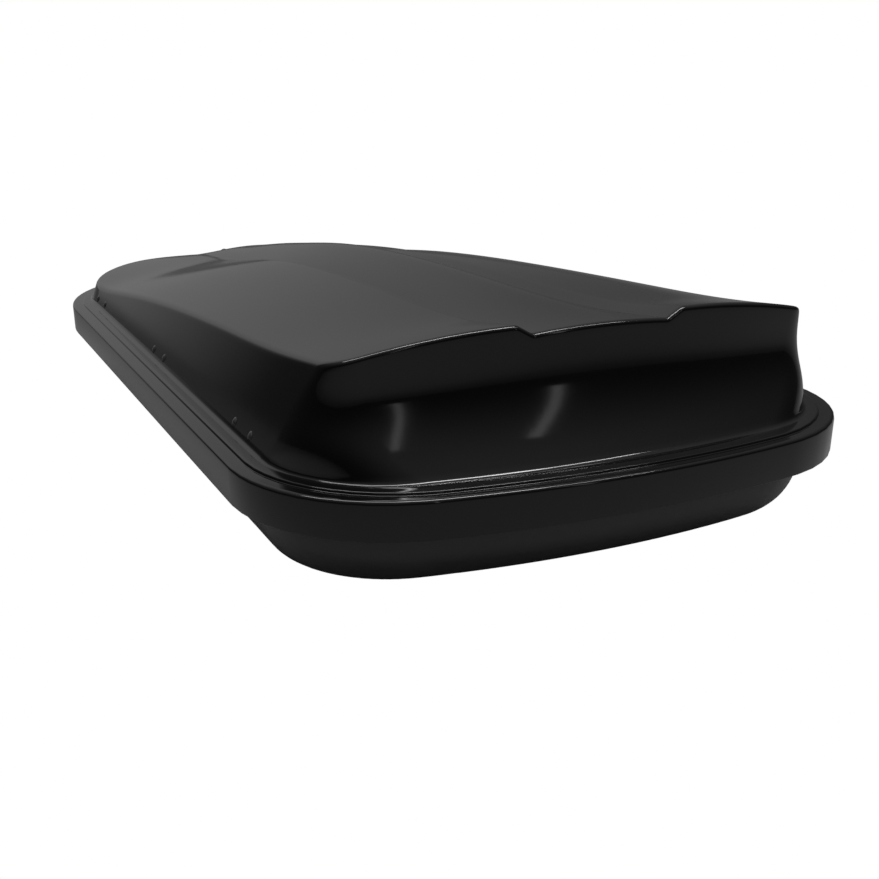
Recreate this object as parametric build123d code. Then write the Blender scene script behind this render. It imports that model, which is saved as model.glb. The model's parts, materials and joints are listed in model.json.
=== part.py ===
from build123d import *
import os
from math import atan, atan2, cos, hypot, pi, radians, sin, sqrt

# Roof cargo box: vacuum-formed base tub and lid, hinged along its left side on three
# pin hinges, locked along its right side by a sliding bar with three hooks, held open
# by two gas struts, and clamped to two crossbars by four U-bolt kits in long slots.
# Frame: +X points to the nose, +Y to the left (hinge) side, +Z up, millimetres.
# The origin is below the middle of the box, where the U-bolts' sleeves stand.

os.makedirs("parts", exist_ok=True)

# ---------------------------------------------------------------- driving sizes
BOX_LENGTH = 1700.0
BOX_WIDTH = 872.0
REAR_BOW = 66.0             # the rear edge bows out by this much
NOSE_BOW = 32.0
REAR_CORNER_R = 220.0
NOSE_MIDDLE = 78.0          # the nose's round corners start this far each side of its middle

SKIRT_HEIGHT = 50.0         # the lid's outer skirt, which laps over the base
SKIRT_EDGE_R = 6.0
LID_SHEET = 4.0
SIDE_LEDGE = 40.0           # flat ledge between the skirt and the lid's body
REAR_LEDGE = 36.0
NOSE_LEDGE = 20.0
BEAD_WIDTH = 19.0           # raised inner part of the ledge
NOSE_BEAD_WIDTH = 9.0
BEAD_HEIGHT = 4.0
WALL_LEAN = 0.4             # the lid's side walls lean in by this much per mm of height

BASE_DEPTH = 135.0          # underside of the base below the top of the lid's flange
BASE_SHEET = 4.0
BASE_INSET = 40.0           # the base's wall, in from the skirt's outer face
BASE_BAND = 62.0            # depth at which the base's wall starts to curve in
RIM_DROP = 10.0             # the base's rim, below the top of the lid's flange
RIM_INSET = 8.0             # the rim's outer edge, in from the skirt's outer face
RIM_LIP = 16.0              # height of the turned-down edge of the rim
SEAL_WIDTH = 9.0
SEAL_INSET = 15.0
SEAL_GAP = 0.3

REAR_STATION_IN = 330.0     # rear hinge and catch, in from the rear end
MIDDLE_STATION = -50.0
NOSE_STATION_IN = 404.0     # front hinge and catch, in from the nose
RIVET_SPACING = 70.0
RIVET_HEIGHT = 17.0         # the lid's side rivets, above the flange
RIVET_HEAD_R = 7.0
RIVET_HEAD_H = 2.6
RIVET_SHANK_R = 2.4
RIVET_HOLE_PLAY = 0.1
RIVET_LENGTH = 11.0
RIVET_TAIL = 2.0            # a short rivet's shank comes through by this much

HINGE_IN = 14.0             # hinge axis, in from the skirt's outer face
HINGE_DROP = 40.0           # hinge axis, below the top of the lid's flange
HINGE_PIN_R = 3.0
HINGE_PLAY = 0.05
HINGE_PIN_HEAD = 1.5        # the pins' heads, in thickness and in overhang
KNUCKLE_R = 6.5
LID_KNUCKLE_LENGTH = 20.0
BASE_KNUCKLE_LENGTH = 14.0
KNUCKLE_GAP = 0.5
LEAF_THICKNESS = 2.5
NOTCH_PLAY = 3.0

BRACKET_LENGTH = 88.0       # hinge leaf or catch, along the box
BRACKET_LOW = 5.0           # its foot and head on the lid's wall, above the flange
BRACKET_HIGH = 30.0
BRACKET_DEPTH = 10.0        # its thickness at the head

BAR_THICKNESS = 3.0
BAR_HEIGHT = 16.0
BAR_TOP_DROP = 32.0         # the lock bar's top edge, below the top of the flange
BAR_WALL_GAP = 8.5          # the lock bar, in from the base's inner wall
BAR_TRAVEL = 18.0
BAR_OVERHANG = 40.0         # the bar's ends, past the outer guides
SLIDE_PLAY = 0.3
GUIDE_LENGTH = 26.0
GUIDE_OFFSET = 52.0         # a guide sits this far behind each catch
CATCH_PIN_R = 3.0
CATCH_PIN_DROP = 22.0
CATCH_TONGUE_LENGTH = 34.0
CATCH_TONGUE_THICKNESS = 2.5
HOOK_TOE = 15.0
HOOK_TOE_HEIGHT = 6.0
HOOK_STEM = 12.0
HOOK_CLEARANCE = 0.6
HOOK_GAP = 4.0              # between the released toe and the catch pin

LOCK_DROP = 66.0            # lock axis, below the top of the lid's flange
LOCK_BOSS_R = 19.0
LOCK_BOSS_PROUD = 3.0       # the boss stands out of the base's wall
LOCK_BODY_R = 13.0
LOCK_FLANGE_R = 16.0
LOCK_FLANGE = 2.0
LOCK_BARREL_R = 9.95
LOCK_BARREL_PLAY = 0.05
LOCK_SPINDLE_R = 4.0
LOCK_TURN_DEG = 90.0
LOCK_NUT = 3.0
LOCK_BOSS_BACK = 5.2        # the boss's inner end, in from the base's inner wall
CAM_PIN_R = 2.5
CAM_PIN_PLAY = 0.6
CAM_THICKNESS = 2.5
CAM_RIM = 2.0               # the cam's metal around its pin
CAM_HUB = 3.0               # the cam's metal around the spindle
CAM_GAP = 0.6               # between the lock bar and the cam
KEYWAY_WIDTH = 2.4
KEYWAY_LENGTH = 11.0
KEYWAY_DEPTH = 6.0

RAIL_WALL_GAP = 98.0        # the reinforcing rails' middles, in from the floor's edge
RAIL_WIDTH = 46.0
RAIL_HEIGHT = 10.0
RAIL_SHEET = 2.0
RAIL_END_IN = 350.0         # the rails' ends, in from the box's ends
SLOT_END_GAP = 40.0         # from a slot's outer end to the rail's end
SLOT_LENGTH = 260.0
SLOT_WIDTH = 9.0

KIT_SHIFT = 50.0            # the kits stand this far from the slots' middles
UBOLT_WIDTH = 80.0
UBOLT_R = 3.5
UBOLT_BEND_R = 12.0
UBOLT_REACH = 62.0          # the U-bolts' sleeves, below the base
SLEEVE_R = 6.0
SLEEVE_PLAY = 0.1
CLAMP_LENGTH = 104.0
CLAMP_WIDTH = 40.0
CLAMP_THICKNESS = 5.0
CLAMP_CORNER_R = 6.0
SEAT_GAP = 0.2
KNOB_R = 22.0
KNOB_HEIGHT = 16.0
KNOB_LOBES = 5
KNOB_LOBE_R = 6.5
KNOB_SKIRT = 3.0            # the lobes start this far above the knob's foot
KNOB_STEP = 1.0             # and end this far below its top
KNOB_PLAY = 0.06
THREAD_STUB = 5.0

REAR_STRUT_IN = 290.0       # the struts, in from the rear end and from the nose
NOSE_STRUT_IN = 425.0
STRUT_BASE_IN = 50.0        # strut's base pivot, in from the hinge axis and below it
STRUT_BASE_DOWN = 18.0
STRUT_LID_IN = 330.0        # strut's lid pivot, in from the hinge axis and above it
STRUT_LID_UP = 72.0
LID_OPEN_DEG = 55.0
STRUT_TUBE_R = 9.0
STRUT_BORE_R = 7.2
STRUT_ROD_R = 4.0
STRUT_PISTON_R = 7.1
STRUT_PLAY = 0.05
STRUT_EYE_R = 8.0
STRUT_EYE_WIDTH = 8.0
STRUT_PIN_R = 4.0
STRUT_NECK = 14.0
STRUT_ROD_OUT = 40.0        # the part of the rod that shows when the lid is closed
STRUT_PISTON_LENGTH = 12.0
STRUT_WALL_LOW = 3.0        # the cylinder's end walls
STRUT_WALL_HIGH = 8.0
STRUT_SPARE = 2.0           # stroke left over when the lid is open
OPEN_PIVOT_GAP = 0.5
BRACKET_SHEET = 3.0
BRACKET_STAND = 10.5        # the brackets' webs, to one side of the struts' axes
BRACKET_FOOT = 40.0

STRAP_X = (-150.0, 150.0)
STRAP_WIDTH = 25.0
STRAP_THICKNESS = 1.5
STRAP_WALL_GAP = 16.0       # from a strap's anchor to the floor's edge
ANCHOR_LENGTH = 44.0
ANCHOR_DEPTH = 24.0
BUCKLE_LENGTH = 62.0
BUCKLE_WIDTH = 34.0
BUCKLE_HEIGHT = 12.0
BUCKLE_EDGE_R = 2.0

NOSE_RIVET_IN = 76.0        # the nose's rivets, in from its tip
NOSE_RIVET_SPACING = 76.0
NOSE_PLATE_LENGTH = 44.0
NOSE_PLATE_WIDTH = 120.0
NOSE_PLATE_SHEET = 3.0

# Heights above the flange at which the lid's body is given its plan, and at each: how far
# its rear and nose stand in from the foot's, and the bows and corner radii there. The
# rear wall is hollow from foot to lip.
WALL_LEVELS = (
    # height, rear in, nose in, rear bow, nose bow, rear corner radius, nose middle
    (0.0, 0.0, 0.0, 60.0, 30.0, 190.0, 62.0),
    (36.0, 26.0, 11.0, 50.0, 30.0, 120.0, 62.0),
    (70.0, 43.0, 20.0, 46.0, 29.0, 85.0, 58.0),
    (105.0, 52.0, 32.0, 40.0, 28.0, 60.0, 52.0),
    (140.0, 54.0, 44.0, 31.0, 27.0, 40.0, 46.0),
    (195.0, 52.0, 61.0, 26.0, 26.0, 30.0, 40.0),
)

# The top of the lid, across the box at stations along it: heights above the flange at
# the shoulder, the rib's crest, the valley inside the rib and the middle of the crown.
# The first table is placed from the rear end, the second from the middle of the box and
# the third from the tip of the nose.
REAR_DECK = (
    # in from the rear end, shoulder, rib crest, valley, crown
    (-10.0, 155.0, 182.0, 170.0, 172.0),
    (80.0, 144.0, 173.0, 161.0, 165.0),
    (132.0, 139.0, 166.0, 154.0, 160.0),
    (204.0, 132.0, 156.0, 146.0, 156.0),
    (323.0, 122.0, 148.0, 138.0, 156.0),
    (510.0, 112.0, 144.0, 134.0, 158.0),
)
MIDDLE_DECK = (
    # ahead of the middle, shoulder, rib crest, valley, crown
    (-170.0, 103.0, 140.0, 130.0, 157.0),
    (0.0, 92.0, 132.0, 123.0, 151.0),
)
NOSE_DECK = (
    # in from the nose, shoulder, rib crest, valley, crown
    (680.0, 78.0, 117.0, 109.0, 138.0),
    (510.0, 60.0, 93.0, 88.0, 117.0),
    (391.0, 48.0, 76.0, 74.0, 101.0),
    (238.0, 41.0, 60.0, 59.5, 78.0),
    (119.0, 37.0, 49.0, 48.5, 59.0),
    (30.0, 33.0, 36.0, 35.7, 38.0),
    (-10.0, 27.0, 28.0, 27.8, 29.0),
)
SHOULDER_IN = 86.0          # the shoulder, in from the skirt's outer face
RIB_Y = 116.0
VALLEY_Y = 95.0
PANEL_SWELL = 7.0           # the side panels swell up by this much between their edges
DECK_OVERRUN = 60.0         # the deck's sections run on past the skirt by this much
PROBE_R = 0.5               # the fine pin that finds the deck's height
DECK_CLEAR = 300.0          # a height above the flange that clears the whole lid

# Depths below the flange at which the base's lower wall is given its plan, and at each
# how far it stands in from the skirt at the side, the rear and the nose.
BASE_LEVELS = (
    # share of the way down to the underside, side in, rear in, nose in
    (0.0, 0.0, 0.0, 0.0),
    (0.45, 4.0, 6.0, 22.0),
    (0.78, 16.0, 22.0, 64.0),
    (1.0, 44.0, 55.0, 150.0),
)

# ---------------------------------------------------------------- derived places
HALF_LENGTH = BOX_LENGTH / 2
HALF_WIDTH = BOX_WIDTH / 2
Z_UNDER = UBOLT_REACH                      # underside of the base
Z_FLANGE = Z_UNDER + BASE_DEPTH            # top of the lid's flange
Z_FLOOR = Z_UNDER + BASE_SHEET             # inside floor of the base
Z_RIM = Z_FLANGE - RIM_DROP                # top of the base's rim
Z_RAIL = Z_FLOOR + RAIL_HEIGHT             # top of the rails
STATIONS = (-HALF_LENGTH + REAR_STATION_IN, MIDDLE_STATION, HALF_LENGTH - NOSE_STATION_IN)
STRUT_X = (-HALF_LENGTH + REAR_STRUT_IN, HALF_LENGTH - NOSE_STRUT_IN)
SHOULDER_Y = HALF_WIDTH - SHOULDER_IN
HINGE_Y = HALF_WIDTH - HINGE_IN
HINGE_Z = Z_FLANGE - HINGE_DROP
WALL_Y = HALF_WIDTH - SIDE_LEDGE           # foot of the lid's side wall
LEAN = atan(WALL_LEAN)
LID_WALL_WIDE = LID_SHEET / cos(LEAN)      # the lid's wall, measured level
BASE_WALL_Y = HALF_WIDTH - BASE_INSET
BASE_IN_Y = BASE_WALL_Y - BASE_SHEET
FLOOR_EDGE_Y = BASE_IN_Y - BASE_LEVELS[-1][1]
RAIL_Y = FLOOR_EDGE_Y - RAIL_WALL_GAP      # the rails' middles, each side of the middle
RAIL_END = HALF_LENGTH - RAIL_END_IN
SLOT_X = RAIL_END - SLOT_END_GAP - SLOT_LENGTH / 2
STRAP_SPAN = 2 * (FLOOR_EDGE_Y - STRAP_WALL_GAP) - ANCHOR_DEPTH
NOSE_RIVET_X = HALF_LENGTH - NOSE_RIVET_IN
RIVET_HOLE_R = RIVET_SHANK_R + RIVET_HOLE_PLAY
BAR_Y = -(BASE_IN_Y - BAR_WALL_GAP)        # outer face of the lock bar
Z_BAR = Z_FLANGE - BAR_TOP_DROP - BAR_HEIGHT / 2
Z_LOCK = Z_FLANGE - LOCK_DROP
CAM_REACH = (BAR_TRAVEL / 2) / sin(radians(LOCK_TURN_DEG / 2))
CAM_Y = BAR_Y + BAR_THICKNESS + CAM_GAP    # the cam's outer face
DECK_STATIONS = (
    [(-HALF_LENGTH + x, *heights) for x, *heights in REAR_DECK]
    + list(MIDDLE_DECK)
    + [(HALF_LENGTH - x, *heights) for x, *heights in NOSE_DECK]
)


def node(name, shape):
    """Write one named piece as its own STEP file."""
    export_step(shape, f"parts/{name}.step")


def block(x, y, z):
    """A box between two values on each axis."""
    size = (x[1] - x[0], y[1] - y[0], z[1] - z[0])
    middle = ((x[0] + x[1]) / 2, (y[0] + y[1]) / 2, (z[0] + z[1]) / 2)
    return Pos(*middle) * Box(*size)


def rod(start, end, radius):
    """A round bar between two points."""
    start, end = Vector(*start), Vector(*end)
    plane = Plane(origin=start, z_dir=end - start)
    return Solid.make_cylinder(radius, (end - start).length, plane)


def profile_along_x(points, x0, x1):
    """A solid with an outline drawn across the box and a length along it."""
    face = Face(Polyline([(x0, y, z) for y, z in points], close=True).wire())
    return extrude(face, amount=x1 - x0, dir=(1, 0, 0))


def joined(pieces):
    """Fuse pieces that are really one."""
    whole = pieces[0]
    for piece in pieces[1:]:
        whole = whole + piece
    return whole


def group(pieces):
    """Keep several separate solids in one node."""
    solids = []
    for piece in pieces:
        solids.extend(piece.solids())
    return Compound(children=solids)


# ---------------------------------------------------------------- plan outlines
def plan_wire(rear, nose, half, rear_bow, nose_bow, rear_r, nose_middle, z):
    """The box's outline seen from above: two bowed ends, straight sides, round corners."""
    back_right = (rear + rear_bow, -half)
    front_right = (nose - nose_bow, -half)
    front_left = (nose - nose_bow, half)
    back_left = (rear + rear_bow, half)
    sharp = Wire([
        Line(back_right, front_right),
        ThreePointArc(front_right, (nose, 0), front_left),
        Line(front_left, back_left),
        ThreePointArc(back_left, (rear, 0), back_right),
    ])
    face = Face(sharp)
    face = face.fillet_2d(half - nose_middle, [v for v in face.vertices() if v.X > 0])
    corners = [v for v in face.vertices() if v.X < rear + rear_bow + 1 and abs(v.Y) > half - 1]
    face = face.fillet_2d(rear_r, corners)
    return (Pos(0, 0, z) * face).outer_wire()


def bow_inside(bow, half, inset):
    """How far an end still bows when the outline moves in evenly by an inset."""
    radius = (half * half + bow * bow) / (2 * bow)
    return (radius - inset) - sqrt((radius - inset) ** 2 - (half - inset) ** 2)


def rim_wire(inset, z):
    """The skirt's outline moved in evenly."""
    return plan_wire(
        -HALF_LENGTH + inset,
        HALF_LENGTH - inset,
        HALF_WIDTH - inset,
        bow_inside(REAR_BOW, HALF_WIDTH, inset),
        bow_inside(NOSE_BOW, HALF_WIDTH, inset),
        REAR_CORNER_R - inset,
        NOSE_MIDDLE,
        z,
    )


def rim_prism(inset, z0, z1):
    """A full plate of the rim's shape between two heights."""
    return extrude(Face(rim_wire(inset, z0)), amount=z1 - z0, dir=(0, 0, 1))


def lid_wall_wire(level, inset, drop=0.0, spread=(0.0, 0.0)):
    """The lid's body at one height, moved in by the sheet, or out by a bead."""
    height, rear_in, nose_in, rear_bow, nose_bow, rear_r, nose_middle = level
    side, nose = spread
    return plan_wire(
        -HALF_LENGTH + REAR_LEDGE + rear_in + inset - side,
        HALF_LENGTH - NOSE_LEDGE - nose_in - inset + nose,
        WALL_Y - WALL_LEAN * height - inset + side,
        rear_bow,
        nose_bow,
        max(rear_r - inset + side, LID_SHEET),
        nose_middle,
        Z_FLANGE + height - drop,
    )


def lid_wall_solid(inset, drop):
    """The lid's body, as a solid that stands up past the deck."""
    return Solid.make_loft([lid_wall_wire(level, inset, drop) for level in WALL_LEVELS])


def deck_section(x, shoulder, crest, valley, crown, drop):
    """A slice across the lid's top: crowned middle, rib flanks and swelled side panels."""
    edge_y = HALF_WIDTH + DECK_OVERRUN
    fall = 1.6 * (crest - shoulder) / (SHOULDER_Y - RIB_Y)
    edge = shoulder - fall * (edge_y - SHOULDER_Y)
    panel_y = (SHOULDER_Y + RIB_Y) / 2
    panel = (shoulder + crest) / 2 + PANEL_SWELL * min(1.0, (crest - 20.0) / 100.0)
    floor = Z_FLANGE - SKIRT_HEIGHT
    lift = Z_FLANGE - drop
    right = [(-edge_y, edge), (-SHOULDER_Y, shoulder), (-panel_y, panel), (-RIB_Y, crest)]
    middle = [(-VALLEY_Y, valley), (0.0, crown), (VALLEY_Y, valley)]
    left = [(-y, z) for y, z in reversed(right)]
    spans = [
        Spline([(x, y, z + lift) for y, z in right]),
        Line((x, -RIB_Y, crest + lift), (x, -VALLEY_Y, valley + lift)),
        Spline([(x, y, z + lift) for y, z in middle]),
        Line((x, VALLEY_Y, valley + lift), (x, RIB_Y, crest + lift)),
        Spline([(x, y, z + lift) for y, z in left]),
        Line((x, edge_y, edge + lift), (x, edge_y, floor)),
        Line((x, edge_y, floor), (x, -edge_y, floor)),
        Line((x, -edge_y, floor), (x, -edge_y, edge + lift)),
    ]
    return Wire(spans)


def under_deck(drop):
    """Everything below the lid's top surface, which can be dropped by a sheet."""
    return Solid.make_loft([deck_section(*station, drop) for station in DECK_STATIONS])


DECK_OUTSIDE = under_deck(0.0)
DECK_INSIDE = under_deck(LID_SHEET)
DECK_BELOW_FOOT = under_deck(LID_SHEET + BRACKET_SHEET)


# ---------------------------------------------------------------- rivets
def rivet(length):
    """A blind rivet with a domed head, its shank along -Z from the head's seat."""
    ball = (RIVET_HEAD_R ** 2 + RIVET_HEAD_H ** 2) / (2 * RIVET_HEAD_H)
    dome = Pos(0, 0, RIVET_HEAD_H - ball) * Sphere(ball)
    head = dome & (Pos(0, 0, RIVET_HEAD_H / 2) * Cylinder(RIVET_HEAD_R, RIVET_HEAD_H))
    shank = Pos(0, 0, -length / 2) * Cylinder(RIVET_SHANK_R, length)
    return head + shank


def rivet_hole(length):
    """The hole that a rivet's shank goes through."""
    return Cylinder(RIVET_HOLE_R, 2 * length)


def side_wall_place(x, side):
    """Where a side rivet's head sits on the lid's leaning wall; side is +1 for left."""
    y = WALL_Y - WALL_LEAN * RIVET_HEIGHT
    normal = (0, side * cos(LEAN), sin(LEAN))
    return Plane(origin=(x, side * y, Z_FLANGE + RIVET_HEIGHT), x_dir=(1, 0, 0), z_dir=normal)


def side_rivet_places(side):
    """The rivet pairs along one side of the lid."""
    return [
        side_wall_place(x + shift, side)
        for x in STATIONS
        for shift in (-RIVET_SPACING / 2, RIVET_SPACING / 2)
    ]


def deck_height(x, y):
    """The height of the lid's outer top surface at a place, found on the solid."""
    probe = rod((x, y, Z_FLANGE), (x, y, Z_FLANGE + DECK_CLEAR), PROBE_R) & DECK_OUTSIDE
    return probe.bounding_box().max.Z


def nose_rivet_places():
    """The two rivets on the nose, square to the surface."""
    half = NOSE_RIVET_SPACING / 2
    step = RIVET_HEAD_R
    places = []
    for y in (-half, half):
        back = deck_height(NOSE_RIVET_X - step, y)
        front = deck_height(NOSE_RIVET_X + step, y)
        inner = deck_height(NOSE_RIVET_X, y * (1 - step / half))
        outer = deck_height(NOSE_RIVET_X, y * (1 + step / half))
        slope_x = (front - back) / (2 * step)
        slope_y = (outer - inner) / (2 * step) * (1 if y > 0 else -1)
        origin = (NOSE_RIVET_X, y, (front + back) / 2)
        places.append(Plane(origin=origin, z_dir=(-slope_x, -slope_y, 1)))
    return places


NOSE_PLACES = nose_rivet_places()


# ---------------------------------------------------------------- lid
def lid_shell():
    """The lid: skirt, ledge with its bead, leaning walls, horned rear and ribbed deck."""
    rim = rim_prism(0.0, Z_FLANGE - SKIRT_HEIGHT, Z_FLANGE)
    top_edges = rim.edges().filter_by_position(Axis.Z, Z_FLANGE - 0.01, Z_FLANGE + 0.01)
    rim = fillet(top_edges, SKIRT_EDGE_R)
    rim = rim - rim_prism(LID_SHEET, Z_FLANGE - SKIRT_HEIGHT - 1, Z_FLANGE - LID_SHEET)
    bead_wire = lid_wall_wire(WALL_LEVELS[0], 0.0, 0.0, (BEAD_WIDTH, NOSE_BEAD_WIDTH))
    bead = extrude(Face(bead_wire), amount=BEAD_HEIGHT, dir=(0, 0, 1))
    body = lid_wall_solid(0.0, 0.0) & DECK_OUTSIDE
    hollow = lid_wall_solid(LID_WALL_WIDE, 0.0) & DECK_INSIDE
    mouth_wire = lid_wall_wire(WALL_LEVELS[0], LID_WALL_WIDE)
    mouth = extrude(Face(mouth_wire), amount=-2 * LID_SHEET, dir=(0, 0, 1))
    shell = rim + bead + body - hollow - mouth
    for place in side_rivet_places(1) + side_rivet_places(-1) + NOSE_PLACES:
        shell = shell - place * rivet_hole(RIVET_LENGTH)
    return shell


def wall_inside_y(height):
    """The inner face of the lid's side wall at a height above the flange."""
    return WALL_Y - WALL_LEAN * height - LID_WALL_WIDE


def bracket_head(side, x):
    """The part of a hinge leaf or catch that is riveted to the lid's leaning wall."""
    low, high = wall_inside_y(BRACKET_LOW), wall_inside_y(BRACKET_HIGH)
    inner = high - BRACKET_DEPTH
    outline = [
        (side * low, Z_FLANGE + BRACKET_LOW),
        (side * high, Z_FLANGE + BRACKET_HIGH),
        (side * inner, Z_FLANGE + BRACKET_HIGH),
        (side * inner, Z_FLANGE + BRACKET_LOW),
    ]
    head = profile_along_x(outline, x - BRACKET_LENGTH / 2, x + BRACKET_LENGTH / 2)
    for shift in (-RIVET_SPACING / 2, RIVET_SPACING / 2):
        head = head - side_wall_place(x + shift, side) * rivet_hole(2 * RIVET_LENGTH)
    return head


def lid_hinge_leaf(x):
    """The lid's half of a hinge: over the base's rim and down to a knuckle."""
    half = LID_KNUCKLE_LENGTH / 2
    under = Z_FLANGE - LID_SHEET - SEAL_GAP
    inner = wall_inside_y(BRACKET_HIGH) - BRACKET_DEPTH
    stem = block((x - half, x + half), (inner, inner + LEAF_THICKNESS),
                 (under - LEAF_THICKNESS, Z_FLANGE + BRACKET_LOW + 1))
    arm = block((x - half, x + half), (inner, HINGE_Y + LEAF_THICKNESS / 2),
                (under - LEAF_THICKNESS, under))
    drop = block((x - half, x + half),
                 (HINGE_Y - LEAF_THICKNESS / 2, HINGE_Y + LEAF_THICKNESS / 2),
                 (HINGE_Z, under - LEAF_THICKNESS))
    knuckle = rod((x - half, HINGE_Y, HINGE_Z), (x + half, HINGE_Y, HINGE_Z), KNUCKLE_R)
    leaf = joined([bracket_head(1, x), stem, arm, drop, knuckle])
    bore = rod((x - half - 1, HINGE_Y, HINGE_Z), (x + half + 1, HINGE_Y, HINGE_Z),
               HINGE_PIN_R + HINGE_PLAY)
    return leaf - bore


def catch_span():
    """The faces, across the box, of a catch's tongue: inner then outer."""
    inner = wall_inside_y(BRACKET_HIGH) - BRACKET_DEPTH
    return inner, inner + CATCH_TONGUE_THICKNESS


def lid_catch(x):
    """A catch on the lid: a tongue that reaches into the base and carries a cross pin."""
    inner, outer = catch_span()
    half = CATCH_TONGUE_LENGTH / 2
    pin_z = Z_FLANGE - CATCH_PIN_DROP
    tongue = block((x - half, x + half), (-outer, -inner),
                   (pin_z - 2 * CATCH_PIN_R, Z_FLANGE + BRACKET_LOW + 1))
    reach = BAR_Y - CATCH_PIN_R / 2
    pin = rod((x, -inner, pin_z), (x, reach, pin_z), CATCH_PIN_R)
    return joined([bracket_head(-1, x), tongue, pin])


def nose_plate():
    """The stiffening plate inside the nose, formed to the lid's underside."""
    half = NOSE_PLATE_LENGTH / 2
    zone = block((NOSE_RIVET_X - half, NOSE_RIVET_X + half),
                 (-NOSE_PLATE_WIDTH / 2, NOSE_PLATE_WIDTH / 2), (Z_FLANGE, Z_FLANGE + DECK_CLEAR))
    plate = (zone & DECK_INSIDE) - under_deck(LID_SHEET + NOSE_PLATE_SHEET)
    for place in NOSE_PLACES:
        plate = plate - place * rivet_hole(RIVET_LENGTH)
    return plate


# ---------------------------------------------------------------- base
def base_wall_wire(level, inset):
    """The base's wall at one depth."""
    share, side_in, rear_in, nose_in = level
    depth = BASE_BAND + share * (BASE_DEPTH - BASE_BAND)
    whole = BASE_INSET + inset
    corner = BASE_INSET + inset + side_in
    return plan_wire(
        -HALF_LENGTH + whole + rear_in,
        HALF_LENGTH - whole - nose_in,
        HALF_WIDTH - whole - side_in,
        bow_inside(REAR_BOW, HALF_WIDTH, corner),
        bow_inside(NOSE_BOW, HALF_WIDTH, corner),
        REAR_CORNER_R - corner,
        NOSE_MIDDLE,
        Z_FLANGE - depth,
    )


def base_solid(inset):
    """The base's lower form, or its hollow when moved in by the sheet."""
    return Solid.make_loft([base_wall_wire(level, inset) for level in BASE_LEVELS])


def base_hollow():
    """The space inside the base, from its floor to just above its rim."""
    below = block((-BOX_LENGTH, BOX_LENGTH), (-BOX_WIDTH, BOX_WIDTH), (Z_UNDER - 1, Z_FLOOR))
    band = rim_prism(BASE_INSET + BASE_SHEET, Z_FLANGE - BASE_BAND, Z_RIM + 1)
    return band + (base_solid(BASE_SHEET) - below)


BASE_HOLLOW = base_hollow()


def slot_places():
    """The middles of the four long slots in the floor."""
    return [(x, y) for x in (-SLOT_X, SLOT_X) for y in (-RAIL_Y, RAIL_Y)]


def slot_cut(x, y):
    """A long slot through the floor and the rail."""
    form = SlotOverall(SLOT_LENGTH, SLOT_WIDTH)
    return extrude(Pos(x, y, Z_UNDER - 5) * form, amount=BASE_SHEET + RAIL_HEIGHT + 10)


def base_shell():
    """The base tub with its rim, hinge notches, clamp slots and the lock's boss."""
    band_z = Z_FLANGE - BASE_BAND
    band = rim_prism(BASE_INSET, band_z, Z_RIM)
    rim_top = rim_prism(RIM_INSET, Z_RIM - BASE_SHEET, Z_RIM)
    lip = rim_prism(RIM_INSET, Z_RIM - RIM_LIP, Z_RIM)
    lip = lip - rim_prism(RIM_INSET + BASE_SHEET, Z_RIM - RIM_LIP - 1, Z_RIM - BASE_SHEET)
    lip = lip - rim_prism(BASE_INSET, Z_RIM - RIM_LIP - 1, Z_RIM + 1)
    shell = band + rim_top + lip + base_solid(0.0)
    boss = rod((0, -BASE_WALL_Y - LOCK_BOSS_PROUD, Z_LOCK),
               (0, -BASE_IN_Y + LOCK_BOSS_BACK, Z_LOCK), LOCK_BOSS_R)
    shell = shell - BASE_HOLLOW + boss
    shell = shell - rod((0, -HALF_WIDTH, Z_LOCK), (0, 0, Z_LOCK), LOCK_BODY_R + 0.2)
    reach = LID_KNUCKLE_LENGTH / 2 + KNUCKLE_GAP + BASE_KNUCKLE_LENGTH + NOTCH_PLAY
    for x in STATIONS:
        notch_y = (HINGE_Y - KNUCKLE_R - NOTCH_PLAY, HALF_WIDTH)
        shell = shell - block((x - reach, x + reach), notch_y, (Z_RIM - 2 * RIM_LIP, Z_RIM + 1))
        for place in base_leaf_rivet_places(x):
            shell = shell - place * rivet_hole(RIVET_LENGTH)
    for x, y in slot_places():
        shell = shell - slot_cut(x, y)
    return shell


def base_leaf_rivet_places(x):
    """The two rivets that hold the base's half of a hinge."""
    z = HINGE_Z - KNUCKLE_R - RIVET_HEAD_R + LEAF_THICKNESS
    return [
        Plane(origin=(x + shift, BASE_WALL_Y + LEAF_THICKNESS, z), x_dir=(1, 0, 0), z_dir=(0, 1, 0))
        for shift in (-RIVET_SPACING / 2, RIVET_SPACING / 2)
    ]


def base_hinge_leaf(x):
    """The base's half of a hinge: a plate on the wall and two outer knuckles."""
    length = BRACKET_LENGTH / 2
    low = HINGE_Z - KNUCKLE_R - 2 * RIVET_HEAD_R
    plate = block((x - length, x + length), (BASE_WALL_Y, BASE_WALL_Y + LEAF_THICKNESS),
                  (low, HINGE_Z - KNUCKLE_R + LEAF_THICKNESS))
    pieces = [plate]
    for sign in (-1, 1):
        near = x + sign * (LID_KNUCKLE_LENGTH / 2 + KNUCKLE_GAP)
        far = near + sign * BASE_KNUCKLE_LENGTH
        pieces.append(block((min(near, far), max(near, far)), (BASE_WALL_Y, HINGE_Y),
                            (HINGE_Z - KNUCKLE_R, HINGE_Z - KNUCKLE_R + LEAF_THICKNESS)))
        pieces.append(rod((near, HINGE_Y, HINGE_Z), (far, HINGE_Y, HINGE_Z), KNUCKLE_R))
    leaf = joined(pieces)
    leaf = leaf - rod((x - length, HINGE_Y, HINGE_Z), (x + length, HINGE_Y, HINGE_Z), HINGE_PIN_R)
    for place in base_leaf_rivet_places(x):
        leaf = leaf - place * rivet_hole(RIVET_LENGTH)
    return leaf


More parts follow.
